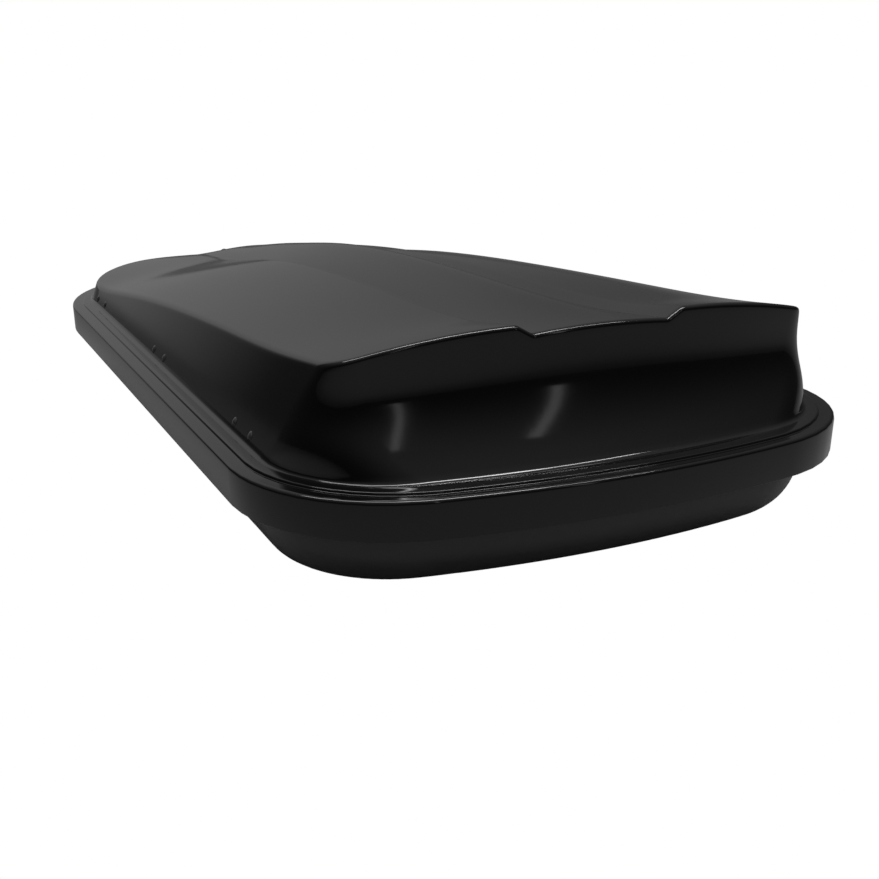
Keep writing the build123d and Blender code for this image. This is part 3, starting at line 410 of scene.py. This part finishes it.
def bezier(start: np.ndarray, corner: np.ndarray, end: np.ndarray, steps: int) -> np.ndarray:
    """Points of a rounded corner.

    Args:
        start: Where the rounding starts.
        corner: The sharp corner.
        end: Where it ends.
        steps: Number of rows.

    Returns:
        Rows of points from start to end.
    """
    t = np.linspace(0.0, 1.0, steps)[:, None, None]
    return (1 - t) ** 2 * start + 2 * t * (1 - t) * corner + t ** 2 * end


@dataclass(frozen=True)
class PlanEnd:
    """One end of an outline: a bow between two round corners.

    Attributes:
        bow_x: X of the bow's centre.
        bow_r: The bow's radius.
        corner_x: X of the corner's centre.
        meet: The angle where the bow meets the corner.
    """

    bow_x: float
    bow_r: float
    corner_x: float
    meet: float


@dataclass(frozen=True)
class Plan:
    """An outline seen from above: two bowed ends, straight sides, round corners.

    Attributes:
        rear: X of the rear's middle.
        nose: X of the nose's middle.
        half: Half the width.
        rear_bow: How far the rear bows out.
        nose_bow: How far the nose bows out.
        rear_r: Radius of the rear corners.
        nose_middle: How far each side of the middle the nose's corners start.
    """

    rear: float
    nose: float
    half: float
    rear_bow: float
    nose_bow: float
    rear_r: float
    nose_middle: float

    def _end(self, tip: float, bow: float, radius: float, sign: float) -> PlanEnd:
        """One end's arc and corner.

        Args:
            tip: X of the end's middle.
            bow: How far it bows out.
            radius: Its corner radius.
            sign: +1 for the nose, -1 for the rear.

        Returns:
            The end.
        """
        bow_r = (self.half ** 2 + bow ** 2) / (2 * bow)
        bow_x = tip - sign * bow_r
        side = self.half - radius
        corner_x = bow_x + sign * math.sqrt((bow_r - radius) ** 2 - side ** 2)
        return PlanEnd(bow_x, bow_r, corner_x, math.atan2(side, sign * (corner_x - bow_x)))

    def at(self, u: np.ndarray) -> np.ndarray:
        """Points along the left half, from the nose's middle (0) to the rear's middle (5).

        Args:
            u: Places along the outline: one unit each for the nose's arc, its corner, the
                side, the rear corner and the rear's arc.

        Returns:
            Points, one row each.
        """
        nose_r, rear_r = self.half - self.nose_middle, self.rear_r
        nose = self._end(self.nose, self.nose_bow, nose_r, 1.0)
        rear = self._end(self.rear, self.rear_bow, rear_r, -1.0)
        part = np.clip(u[:, None] - np.arange(5)[None, :], 0.0, 1.0)
        arc = part[:, 0] * nose.meet
        corner = nose.meet + part[:, 1] * (math.pi / 2 - nose.meet)
        back = math.pi / 2 - part[:, 3] * (math.pi / 2 - rear.meet)
        end = rear.meet * (1.0 - part[:, 4])
        xs = (nose.bow_x + nose.bow_r * np.cos(arc),
              nose.corner_x + nose_r * np.cos(corner),
              nose.corner_x + part[:, 2] * (rear.corner_x - nose.corner_x),
              rear.corner_x - rear_r * np.cos(back),
              rear.bow_x - rear.bow_r * np.cos(end))
        ys = (nose.bow_r * np.sin(arc),
              self.nose_middle + nose_r * np.sin(corner),
              np.full(len(u), self.half),
              self.half - rear_r + rear_r * np.sin(back),
              rear.bow_r * np.sin(end))
        stretch = np.clip(np.ceil(u).astype(int) - 1, 0, len(xs) - 1)
        return np.stack([np.choose(stretch, xs), np.choose(stretch, ys)], 1)


# --------------------------------------------------------------------- lid
@dataclass(frozen=True)
class Deck:
    """The lid's top surface, as heights above the flange in millimetres.

    Attributes:
        rear: Distance from the rear end, then heights of the shoulder, rib crest, valley
            and crown.
        middle: The same, with X from the box's middle.
        nose: The same, with the distance from the nose's tip.
        half_length: Half the box's length.
        shoulder_y: Where the shoulders are.
        rib_y: Where the ribs' crests are.
        valley_y: Where the valleys inside the ribs are.
        swell: How far the side panels swell up.
        swell_from: Crest height at which the panels are flat.
        swell_over: How much higher the crest is where they swell in full.
        soften: Half width over which the ribs' edges are rounded.
        taps: How many places are averaged over that width.
        taper: How much less the outermost places count than the middle one.
    """

    rear: tuple[tuple[float, ...], ...] = (
        (-10.0, 155.0, 182.0, 170.0, 172.0),
        (80.0, 144.0, 173.0, 161.0, 165.0),
        (132.0, 139.0, 166.0, 154.0, 160.0),
        (204.0, 132.0, 156.0, 146.0, 156.0),
        (323.0, 122.0, 148.0, 138.0, 156.0),
        (510.0, 112.0, 144.0, 134.0, 158.0),
    )
    middle: tuple[tuple[float, ...], ...] = (
        (-170.0, 103.0, 140.0, 130.0, 157.0),
        (0.0, 92.0, 132.0, 123.0, 151.0),
    )
    nose: tuple[tuple[float, ...], ...] = (
        (680.0, 78.0, 117.0, 109.0, 138.0),
        (510.0, 60.0, 93.0, 88.0, 117.0),
        (391.0, 48.0, 76.0, 74.0, 101.0),
        (238.0, 41.0, 60.0, 59.5, 78.0),
        (119.0, 37.0, 49.0, 48.5, 59.0),
        (30.0, 33.0, 36.0, 35.7, 38.0),
        (-10.0, 27.0, 28.0, 27.8, 29.0),
    )
    half_length: float = 850.0
    shoulder_y: float = 350.0
    rib_y: float = 116.0
    valley_y: float = 95.0
    swell: float = 7.0
    swell_from: float = 20.0
    swell_over: float = 100.0
    soften: float = 4.0
    taps: int = 9
    taper: float = 0.9

    def _lines(self) -> Curve:
        """The heights of the shoulder, rib crest, valley and crown along the box.

        Returns:
            A function of X that gives the four heights.
        """
        rows = np.asarray(self.rear + self.middle + self.nose)
        ends, centre = len(self.rear), len(self.rear) + len(self.middle)
        rows[:ends, 0] -= self.half_length
        rows[centre:, 0] = self.half_length - rows[centre:, 0]
        return spline(rows[:, 0], rows[:, 1:])

    def _sharp(self, x: np.ndarray, y: np.ndarray) -> np.ndarray:
        """Heights with sharp rib edges.

        Args:
            x: Places along the box.
            y: Places across it.

        Returns:
            Heights.
        """
        shoulder, crest, valley, crown = np.moveaxis(self._lines()(x), -1, 0)
        y = np.abs(y)
        middle = crown - (crown - valley) * (y / self.valley_y) ** 2
        share = (y - self.valley_y) / (self.rib_y - self.valley_y)
        flank = valley + (crest - valley) * share
        out = (y - self.rib_y) / (self.shoulder_y - self.rib_y)
        bulge = self.swell * np.minimum(1.0, (crest - self.swell_from) / self.swell_over)
        panel = crest + (shoulder - crest) * out + 4 * bulge * out * (1 - out)
        return np.where(y < self.valley_y, middle, np.where(y < self.rib_y, flank, panel))

    def height(self, x: np.ndarray, y: np.ndarray) -> np.ndarray:
        """Heights with softened rib edges.

        Args:
            x: Places along the box.
            y: Places across it.

        Returns:
            Heights.
        """
        taps = np.linspace(-1.0, 1.0, self.taps)
        weights = 1.0 - np.abs(taps) * self.taper
        total = sum(w * self._sharp(x, y + t * self.soften) for t, w in zip(taps, weights))
        return total / weights.sum()


@dataclass(frozen=True)
class LidSizes:
    """The lid's sizes in millimetres, in the same terms as the construction model.

    Attributes:
        length: Length over the skirt.
        width: Width over the skirt.
        flange_z: Height of the ledge round the lid's foot.
        skirt: Depth of the skirt.
        skirt_edge: Rounding between the ledge and the skirt.
        rear_bow: How far the skirt's rear bows out.
        nose_bow: How far the skirt's nose bows out.
        rear_r: Radius of the skirt's rear corners.
        nose_middle: How far each side of the middle the nose's corners start.
        side_ledge: The ledge's width at the sides.
        rear_ledge: The ledge's width at the rear.
        nose_ledge: The ledge's width at the nose.
        bead: How far the bead stands out of the walls.
        nose_bead: The same at the nose.
        bead_height: Height of the bead.
        bead_edge: Rounding of the bead's top edge.
        bead_root: Rounding between the bead and the ledge.
        lean: How far the sides lean in for each unit of height.
        sheet: Thickness of the sheet.
        edge: Rounding of the deck's edge.
        inner_edge: The same on the inside.
        foot: Rounding between the walls and the bead.
        nose_foot: How far that rounding reaches out at the nose.
        lip: Rounding of the skirt's lower edge.
        fold: Rounding inside the skirt, under the ledge.
        levels: Height above the flange, then how far the rear and the nose stand in, how
            far they bow out, the rear corners' radius and where the nose's corners start.
    """

    length: float = 1700.0
    width: float = 872.0
    flange_z: float = 197.0
    skirt: float = 50.0
    skirt_edge: float = 6.0
    rear_bow: float = 66.0
    nose_bow: float = 32.0
    rear_r: float = 220.0
    nose_middle: float = 78.0
    side_ledge: float = 40.0
    rear_ledge: float = 36.0
    nose_ledge: float = 20.0
    bead: float = 19.0
    nose_bead: float = 9.0
    bead_height: float = 4.0
    bead_edge: float = 2.0
    bead_root: float = 1.5
    lean: float = 0.4
    sheet: float = 4.0
    edge: float = 7.0
    inner_edge: float = 6.0
    foot: float = 5.0
    nose_foot: float = 2.5
    lip: float = 1.0
    fold: float = 2.0
    levels: tuple[tuple[float, ...], ...] = (
        (0.0, 0.0, 0.0, 60.0, 30.0, 190.0, 62.0),
        (36.0, 26.0, 11.0, 50.0, 30.0, 120.0, 62.0),
        (70.0, 43.0, 20.0, 46.0, 29.0, 85.0, 58.0),
        (105.0, 52.0, 32.0, 40.0, 28.0, 60.0, 52.0),
        (140.0, 54.0, 44.0, 31.0, 27.0, 40.0, 46.0),
        (195.0, 52.0, 61.0, 26.0, 26.0, 30.0, 40.0),
    )

    @property
    def wall_sheet(self) -> float:
        """The sheet's thickness measured level through the leaning walls."""
        return self.sheet / math.cos(math.atan(self.lean))


@dataclass(frozen=True)
class LidGrid:
    """How finely the lid's surfaces are divided.

    Attributes:
        trial: Trial places along each stretch of the outline.
        crown: Columns from the middle to a rib.
        rib: Columns across a rib.
        panel: Columns from a rib to the side.
        rib_margin: How far past the rib its own columns reach, in millimetres.
        side: Rows along the side.
        nose: Rows from the nose's edge to the side.
        rear: Rows from the side to the rear's edge.
        heights: Heights at which the walls' outline is worked out.
        edge: Rows of the deck's rounded edge.
        wall: Rows down the walls.
        foot: Rows of the rounding between the walls and the bead.
        bead: Rows of each of the bead's roundings.
        skirt: Rows of the rounding between the ledge and the skirt.
        lip: Rows of each rounding of the skirt's lower edge.
    """

    trial: tuple[int, ...] = (60, 200, 300, 60, 120)
    crown: int = 12
    rib: int = 18
    panel: int = 34
    rib_margin: float = 10.0
    side: int = 110
    nose: int = 40
    rear: int = 14
    heights: int = 66
    edge: int = 7
    wall: int = 26
    foot: int = 5
    bead: int = 4
    skirt: int = 7
    lip: int = 3


@dataclass(frozen=True)
class Skin:
    """One face of the lid's sheet.

    Attributes:
        inset: How far in its walls are.
        drop: How far down its deck is.
        edge: Rounding of its deck's edge.
        foot: Where its walls end, above the flange.
        flip: Whether its faces look in.
    """

    inset: float
    drop: float
    edge: float
    foot: float
    flip: bool


class Mesh:
    """Vertices and faces gathered in millimetres, made into one object in metres.

    Attributes:
        WELD: Vertices nearer than this are joined, in millimetres.
        SLIVER: Edges shorter than this are dissolved, in millimetres.
    """

    WELD = 0.02
    SLIVER = 0.005

    def __init__(self) -> None:
        """Start with no vertices."""
        self.points: list[np.ndarray] = []
        self.faces: list[list[int]] = []
        self.count = 0

    def add(self, points: np.ndarray) -> np.ndarray:
        """Add vertices.

        Args:
            points: Any array whose last axis is x, y, z.

        Returns:
            Their indices, in the same shape without the last axis.
        """
        flat = points.reshape(-1, 3)
        index = np.arange(self.count, self.count + len(flat)).reshape(points.shape[:-1])
        self.points.append(flat)
        self.count += len(flat)
        return index

    def quads(self, index: np.ndarray, flip: bool) -> None:
        """Join a grid of vertices with faces.

        Args:
            index: Vertex indices in rows and columns.
            flip: Whether the faces look the other way.
        """
        a, b, c, d = index[:-1, :-1], index[:-1, 1:], index[1:, 1:], index[1:, :-1]
        for face in np.stack([a, b, c, d], -1).reshape(-1, 4):
            self.faces.append([int(v) for v in (face[::-1] if flip else face)])

    def build(self, name: str, finish: bpy.types.Material) -> bpy.types.Object:
        """Make the object.

        Args:
            name: Its name.
            finish: Its material.

        Returns:
            The object, shaded smooth.
        """
        data = bpy.data.meshes.new(name)
        data.from_pydata((np.concatenate(self.points) * MM).tolist(), [], self.faces)
        made = bpy.data.objects.new(name, data)
        bpy.context.scene.collection.objects.link(made)
        shape = bmesh.new()
        shape.from_mesh(data)
        bmesh.ops.remove_doubles(shape, verts=shape.verts, dist=self.WELD * MM)
        bmesh.ops.dissolve_degenerate(shape, edges=shape.edges, dist=self.SLIVER * MM)
        bmesh.ops.recalc_face_normals(shape, faces=shape.faces)
        shape.to_mesh(data)
        shape.free()
        data.shade_smooth()
        data.materials.append(finish)
        return made


def inward(points: np.ndarray) -> np.ndarray:
    """Directions in, in plan, along the left half of an outline.

    Args:
        points: The outline's points from the nose to the rear.

    Returns:
        Unit vectors.
    """
    along = np.gradient(points[:, :2], axis=0)
    along[0], along[-1] = (0.0, 1.0), (0.0, -1.0)
    along /= np.linalg.norm(along, axis=1)[:, None]
    return np.stack([-along[:, 1], along[:, 0]], 1)


def ring(u: np.ndarray, plan: Plan, z: float) -> np.ndarray:
    """An outline's points at a height.

    Args:
        u: Places along the outline.
        plan: The outline.
        z: Height above the flange.

    Returns:
        Points.
    """
    return np.concatenate([plan.at(u), np.full((len(u), 1), z)], 1)


@dataclass
class Lid:
    """The lid: deck, walls, bead, ledge and skirt, outside and in.

    Attributes:
        sizes: Its sizes.
        deck: Its top surface.
        grid: How finely it is divided.
    """

    sizes: LidSizes = field(default_factory=LidSizes)
    deck: Deck = field(default_factory=Deck)
    grid: LidGrid = field(default_factory=LidGrid)

    def _wall(self, height: float, inset: float, spread: tuple[float, float] = (0.0, 0.0)) -> Plan:
        """The walls' outline at a height.

        Args:
            height: Above the flange.
            inset: How far it moves in.
            spread: How far it moves out at the sides and the nose.

        Returns:
            The outline.
        """
        s = self.sizes
        rows = np.asarray(s.levels)
        level = spline(rows[:, 0], rows[:, 1:])(np.array([height]))[0]
        rear_in, nose_in, rear_bow, nose_bow, rear_r, nose_middle = level
        side, nose = spread
        return Plan(
            rear=-s.length / 2 + s.rear_ledge + rear_in + inset - side,
            nose=s.length / 2 - s.nose_ledge - nose_in - inset + nose,
            half=s.width / 2 - s.side_ledge - s.lean * height - inset + side,
            rear_bow=rear_bow,
            nose_bow=nose_bow,
            rear_r=max(rear_r - inset + side, s.sheet),
            nose_middle=nose_middle,
        )

    def _rim(self, inset: float) -> Plan:
        """The skirt's outline, moved in.

        Args:
            inset: How far.

        Returns:
            The outline.
        """
        s = self.sizes

        def bow(full: float) -> float:
            """How far an end bows out once its outline has moved in.

            Args:
                full: How far it bows out before.

            Returns:
                The bow.
            """
            radius = (s.width ** 2 / 4 + full ** 2) / (2 * full)
            return radius - inset - math.sqrt((radius - inset) ** 2 - (s.width / 2 - inset) ** 2)

        return Plan(
            rear=-s.length / 2 + inset,
            nose=s.length / 2 - inset,
            half=s.width / 2 - inset,
            rear_bow=bow(s.rear_bow),
            nose_bow=bow(s.nose_bow),
            rear_r=s.rear_r - inset,
            nose_middle=s.nose_middle,
        )

    def _crease(self, u: np.ndarray, skin: Skin) -> tuple[np.ndarray, Curve]:
        """Where the walls meet the deck.

        Args:
            u: Places along the left half of the outline.
            skin: Which face of the sheet.

        Returns:
            The crease's points, and a function that gives wall points at given heights.
        """
        heights = np.linspace(0.0, self.sizes.levels[-1][0], self.grid.heights)
        step = heights[1] - heights[0]
        columns = np.stack([self._wall(height, skin.inset).at(u) for height in heights])
        deck = self.deck.height(columns[..., 0], columns[..., 1]) - skin.drop
        over = heights[:, None] - deck
        hit = np.argmax(over > 0, axis=0)
        at = np.arange(len(u))
        low, high = over[hit - 1, at], over[hit, at]
        top = heights[hit - 1] + step * (-low) / (high - low)

        def wall(level: np.ndarray) -> np.ndarray:
            """Points on the walls.

            Args:
                level: A height above the flange for each place.

            Returns:
                Points.
            """
            share = np.maximum(level / step, 0.0)
            i = np.minimum(share.astype(int), len(heights) - 2)
            t = (share - i)[:, None]
            xy = columns[i, at] * (1 - t) + columns[i + 1, at] * t
            return np.concatenate([xy, level[:, None]], 1)

        return wall(top), wall

    def _places(self, skin: Skin) -> tuple[np.ndarray, np.ndarray, np.ndarray]:
        """Places along the outline that line up with the deck's columns and rows.

        Args:
            skin: Which face of the sheet.

        Returns:
            Places at the nose, along the side and at the rear.
        """
        g = self.grid
        parts = [np.linspace(i, i + 1, count)[:-1] for i, count in enumerate(g.trial)]
        trial = np.concatenate([*parts, [float(len(g.trial))]])
        crease, _ = self._crease(trial, skin)
        inner = crease[:, :2] + inward(crease) * skin.edge
        start, end = int(np.searchsorted(trial, 2.0)), int(np.searchsorted(trial, 3.0)) - 1
        near, far = self._rib_zone()
        middle = [np.linspace(0, near, g.crown)[:-1], np.linspace(near, far, g.rib)[:-1]]
        share = np.sin(np.linspace(0, math.pi / 2, g.panel))
        nose_y, rear_y = (
            np.concatenate([*middle, far + share * (inner[i, 1] - far)])[:-1]
            for i in (start, end))
        side_x = np.linspace(inner[start, 0], inner[end, 0], g.side)
        side = slice(start, end + 1)
        return (np.interp(nose_y, inner[:start + 1, 1], trial[:start + 1]),
                np.interp(-side_x, -inner[side, 0], trial[side]),
                np.interp(rear_y, inner[end:, 1][::-1], trial[end:][::-1])[::-1])

    def _rib_zone(self) -> tuple[float, float]:
        """Where a rib's own columns start and end across the box."""
        margin = self.grid.rib_margin
        return self.deck.valley_y - margin, self.deck.rib_y + margin

    def _deck_grid(self, nose: np.ndarray, left: np.ndarray, rear: np.ndarray) -> np.ndarray:
        """Points of the left half of the deck, in plan.

        Args:
            nose: The deck's edge at the nose, from the middle to the side.
            left: Its edge along the side, from the nose to the rear.
            rear: Its edge at the rear, from the middle to the side.

        Returns:
            X and y by column and row.
        """
        g = self.grid
        ribs = g.crown + g.rib - 2
        far = self._rib_zone()[1]
        columns = []
        for j, (ahead, behind) in enumerate(zip(nose, rear)):
            share = (ahead[1] - far) / (nose[-1, 1] - far)
            beside = np.full(len(left), ahead[1]) if j < ribs else far + share * (left[:, 1] - far)
            front_x = np.linspace(ahead[0], left[0, 0], g.nose)[:-1]
            back_x = np.linspace(behind[0], left[-1, 0], g.rear)[::-1][1:]
            x = np.concatenate([front_x, left[:, 0], back_x])
            y = np.pad(beside, (len(front_x), len(back_x)), "edge")
            column = np.stack([x, y], 1)
            column[0], column[-1] = ahead[:2], behind[:2]
            columns.append(column)
        return np.stack(columns)

    def _surface(self, mesh: Mesh, skin: Skin) -> np.ndarray:
        """The deck, its rounded edge and the walls.

        Args:
            mesh: Where the faces go.
            skin: Which face of the sheet.

        Returns:
            Places along the outline, which the foot's rows share.
        """
        at_nose, at_side, at_rear = self._places(skin)
        u = np.concatenate([at_nose, at_side, at_rear])
        crease, wall = self._crease(u, skin)
        inner = crease[:, :2] + inward(crease) * skin.edge
        inner_z = self.deck.height(inner[:, 0], inner[:, 1]) - skin.drop
        inner = np.concatenate([inner, inner_z[:, None]], 1)
        start, end = len(at_nose), len(at_nose) + len(at_side)

        plan = self._deck_grid(inner[:start + 1], inner[start:end], inner[end - 1:][::-1])
        z = self.deck.height(plan[..., 0], plan[..., 1]) - skin.drop
        half = np.concatenate([plan, z[..., None]], -1)
        whole = np.concatenate([half[::-1], half[1:] * np.array([1, -1, 1])])
        mesh.quads(mesh.add(whole + [0, 0, self.sizes.flange_z]), skin.flip)

        down = wall(crease[:, 2] - skin.edge)
        rounding = bezier(inner, crease, down, self.grid.edge)
        share = np.linspace(0.0, 1.0, self.grid.wall)[:, None]
        levels = down[:, 2] + share * (skin.foot - down[:, 2])
        walls = np.stack([wall(row) for row in levels])
        self._both(mesh, np.concatenate([rounding, walls[1:]]), skin.flip)
        return u

    def _both(self, mesh: Mesh, rows: np.ndarray, flip: bool) -> None:
        """Add rows round the left half, and their mirror image.

        Args:
            mesh: Where the faces go.
            rows: Rows of points from the nose to the rear.
            flip: Whether the faces look in.
        """
        lift = np.array([0, 0, self.sizes.flange_z])
        mesh.quads(mesh.add(rows + lift), flip)
        mesh.quads(mesh.add(rows * np.array([1, -1, 1]) + lift), not flip)

    def _foot(self, mesh: Mesh, u: np.ndarray) -> None:
        """The bead, the ledge and the skirt, from the walls' foot round to under the ledge.

        Args:
            mesh: Where the faces go.
            u: Places along the outline.
        """
        s, g = self.sizes, self.grid
        top, low = s.bead_height, -s.skirt

        def wall(z: float) -> np.ndarray:
            """The walls' points at a height."""
            return ring(u, self._wall(z, 0.0), z)

        def bead(out: float, nose: float, z: float) -> np.ndarray:
            """The foot's outline moved out at the sides and the nose, at a height."""
            return ring(u, self._wall(0.0, 0.0, (out, nose)), z)

        def face(shift: float, z: float) -> np.ndarray:
            """The bead's outer face moved out a little, at a height."""
            return bead(s.bead + shift, s.nose_bead + shift, z)

        def rim(inset: float, z: float) -> np.ndarray:
            """The skirt's outline moved in, at a height."""
            return ring(u, self._rim(inset), z)

        rows = [
            bezier(wall(top + s.foot), wall(top), bead(s.foot, s.nose_foot, top), g.foot),
            bezier(face(-s.bead_edge, top), face(0, top), face(0, top - s.bead_edge), g.bead),
            bezier(face(0, s.bead_root), face(0, 0), face(s.bead_root, 0), g.bead),
            bezier(rim(s.skirt_edge, 0), rim(0, 0), rim(0, -s.skirt_edge), g.skirt),
            bezier(rim(0, low + s.lip), rim(0, low), rim(s.lip, low), g.lip),
            bezier(rim(s.sheet - s.lip, low), rim(s.sheet, low), rim(s.sheet, low + s.lip),
                   g.lip),
            np.stack([rim(s.sheet, -s.sheet - s.fold)]),
            np.stack([rim(s.sheet + s.fold, -s.sheet)]),
        ]
        self._both(mesh, np.concatenate(rows), False)

    def _under(self, mesh: Mesh, u: np.ndarray) -> None:
        """The ledge's underside, from the skirt to the inner walls.

        Args:
            mesh: Where the faces go.
            u: Places along the outline.
        """
        s = self.sizes
        wall = self._wall(0.0, s.wall_sheet)
        rows = [ring(u, self._rim(s.sheet + s.fold), -s.sheet), ring(u, wall, -s.sheet),
                ring(u, wall, 0.0)]
        self._both(mesh, np.stack(rows), False)

    def build(self, finish: bpy.types.Material) -> bpy.types.Object:
        """Make the lid.

        Args:
            finish: Its material.

        Returns:
            The object.
        """
        s = self.sizes
        outside = Skin(0.0, 0.0, s.edge, s.foot + s.bead_height, flip=False)
        inside = Skin(s.wall_sheet, s.sheet, s.inner_edge, 0.0, flip=True)
        mesh = Mesh()
        self._foot(mesh, self._surface(mesh, outside))
        self._under(mesh, self._surface(mesh, inside))
        made = mesh.build("lid_skin", finish)
        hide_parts("lid_shell")
        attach(made, "lid")
        LOG.info("lid_skin: %d faces", len(made.data.polygons))
        return made


@dataclass
class Fittings:
    """The pieces that keep their construction shapes and get a finish.

    Attributes:
        smooth_deg: Edges flatter than this are shaded smooth.
    """

    smooth_deg: float = 28.0

    def dress(self, materials: dict[str, bpy.types.Material]) -> None:
        """Give every construction piece its finish and smooth shading.

        Args:
            materials: Finishes by the record's slot name.
        """
        slots = {row["node"]: row["material_slot"] for row in frame["record"]["subparts"]}
        for name, piece in frame["nodes"].items():
            piece.data.materials.clear()
            piece.data.materials.append(materials[slots[name]])
            piece.data.shade_smooth()
            piece.data.set_sharp_from_angle(angle=math.radians(self.smooth_deg))
            LOG.info("%s: %s", name, slots[name])


# --------------------------------------------------------------------- studio
@dataclass(frozen=True)
class Softbox:
    """An area light.

    Attributes:
        name: Its name.
        place: Where it is, in metres.
        aim: What it points at.
        size: Its width and length.
        power: Its power in watts.
    """

    name: str
    place: tuple[float, float, float]
    aim: tuple[float, float, float]
    size: tuple[float, float]
    power: float

    def build(self) -> None:
        """Add the light."""
        data = bpy.data.lights.new(self.name, "AREA")
        data.shape = "RECTANGLE"
        data.size, data.size_y = self.size
        data.energy = self.power
        made = bpy.data.objects.new(self.name, data)
        made.location = self.place
        beam = Vector(self.aim) - Vector(self.place)
        made.rotation_euler = beam.to_track_quat("-Z", "Y").to_euler()
        bpy.context.scene.collection.objects.link(made)


@dataclass(frozen=True)
class Sky:
    """Soft light from all round, white to the camera.

    Attributes:
        low: Strength at the horizon.
        high: Strength overhead.
        rise: How late the strength rises on the way up.
        glow: Added strength of a broad glow.
        toward: Where the glow is, as a unit vector.
        spread: How tight the glow is.
        flag: How far round to the left, as a share, the glow starts and ends to be cut off.
    """

    low: float = 0.03
    high: float = 0.50
    rise: float = 2.0
    glow: float = 0.36
    toward: tuple[float, float, float] = (0.93, 0.20, 0.30)
    spread: float = 4.0
    flag: tuple[float, float] = (0.24, 0.38)

    def build(self) -> None:
        """Set the world."""
        world = bpy.data.worlds.new("world")
        world.use_nodes = True
        bpy.context.scene.world = world
        graph = Graph(world.node_tree)
        way = graph.make("ShaderNodeTexCoord", {}, {}, "Generated")
        _, left, up = graph.parts(way)
        settings = {"operation": "DOT_PRODUCT"}
        facing = graph.make("ShaderNodeVectorMath", settings, {0: way, 1: self.toward}, "Value")
        start, end = self.flag
        past = ((end - left) / (end - start)).clamp()
        glow = facing.clamp() ** self.spread * past * self.glow
        strength = up.clamp() ** self.rise * (self.high - self.low) + self.low + glow
        soft = graph.make("ShaderNodeBackground", {}, {"Color": WHITE, "Strength": strength})
        mixed = graph.seen_white(soft, "ShaderNodeBackground")
        graph.node("ShaderNodeOutputWorld", {}, {"Surface": mixed})


@dataclass(frozen=True)
class Floor:
    """A flat floor, grey to the light that bounces off it and white to the camera.

    Attributes:
        reach: How far it reaches from the middle, in metres.
        shade: How pale it is to all other light.
    """

    reach: float = 14.0
    shade: float = 0.28

    def build(self) -> None:
        """Add the floor."""
        far = self.reach
        corners = [(-far, -far, 0), (far, -far, 0), (far, far, 0), (-far, far, 0)]
        data = bpy.data.meshes.new("floor")
        data.from_pydata(corners, [], [(0, 1, 2, 3)])
        made = bpy.data.objects.new("floor", data)
        material = bpy.data.materials.new("floor")
        material.use_nodes = True
        graph = Graph(material.node_tree)
        grey = (self.shade, self.shade, self.shade, 1.0)
        matte = graph.make("ShaderNodeBsdfDiffuse", {}, {"Color": grey})
        mixed = graph.seen_white(matte, "ShaderNodeEmission")
        graph.node("ShaderNodeOutputMaterial", {}, {"Surface": mixed})
        data.materials.append(material)
        bpy.context.scene.collection.objects.link(made)


@dataclass(frozen=True)
class Camera:
    """The camera.

    Attributes:
        place: Where it is, in metres.
        yaw: Its heading from +X, in radians.
        pitch: Its tilt, in radians.
        roll: Its roll, in radians.
        lens: Its focal length in millimetres.
        sensor: Its sensor's width in millimetres.
        shift: Its lens shift, sideways and up.
        clip: How near and how far it sees, in metres.
    """

    place: tuple[float, float, float] = (-1.9689, 0.8017, 0.6690)
    yaw: float = -0.378
    pitch: float = -0.392
    roll: float = -0.024
    lens: float = 48.74
    sensor: float = 36.0
    shift: tuple[float, float] = (0.090, 0.117)
    clip: tuple[float, float] = (0.05, 60.0)

    def build(self) -> None:
        """Add the camera and make it the scene's."""
        data = bpy.data.cameras.new("camera")
        data.sensor_width = self.sensor
        data.lens = self.lens
        data.shift_x, data.shift_y = self.shift
        data.clip_start, data.clip_end = self.clip
        made = bpy.data.objects.new("camera", data)
        level = math.cos(self.pitch)
        forward = Vector((level * math.cos(self.yaw), level * math.sin(self.yaw),
                          math.sin(self.pitch)))
        right = Vector((math.sin(self.yaw), -math.cos(self.yaw), 0.0))
        turn = Matrix((right, right.cross(forward), -forward)).transposed()
        stand = Matrix.LocRotScale(Vector(self.place), turn, None)
        made.matrix_world = stand @ Matrix.Rotation(self.roll, 4, "Z")
        bpy.context.scene.collection.objects.link(made)
        bpy.context.scene.camera = made


@dataclass
class Studio:
    """Sky, floor, lights and camera.

    Attributes:
        sky: The light from all round.
        floor: The floor.
        camera: The camera.
        lights: The lights.
    """

    sky: Sky = field(default_factory=Sky)
    floor: Floor = field(default_factory=Floor)
    camera: Camera = field(default_factory=Camera)
    lights: tuple[Softbox, ...] = (
        Softbox("strip", (-0.6, 0.3, 3.0), (-0.1, 0.0, 0.2), (3.4, 0.5), 55.0),
        Softbox("rear_tube", (-1.3, -0.9, 3.0), (-1.0, -0.3, 0.2), (0.14, 2.4), 24.0),
        Softbox("rear_left", (-3.2, 0.1, 1.2), (-0.8, 0.0, 0.2), (0.05, 1.6), 0.4),
        Softbox("rear_right", (-2.9, -1.0, 1.2), (-0.8, -0.2, 0.2), (0.09, 1.4), 0.5),
    )

    def build(self) -> None:
        """Set up the studio."""
        for piece in (self.sky, self.floor, *self.lights, self.camera):
            piece.build()
        bpy.context.scene.view_settings.view_transform = "Standard"
        LOG.info("studio: %d lights", len(self.lights))


def main() -> None:
    """Build the looks in order."""
    logging.basicConfig(level=logging.INFO, format="%(name)s %(message)s")
    materials = {finish.name: finish.build() for finish in FINISHES}
    Fittings().dress(materials)
    Lid().build(materials["gloss_black"])
    Studio().build()


if __name__ == "__main__":
    main()
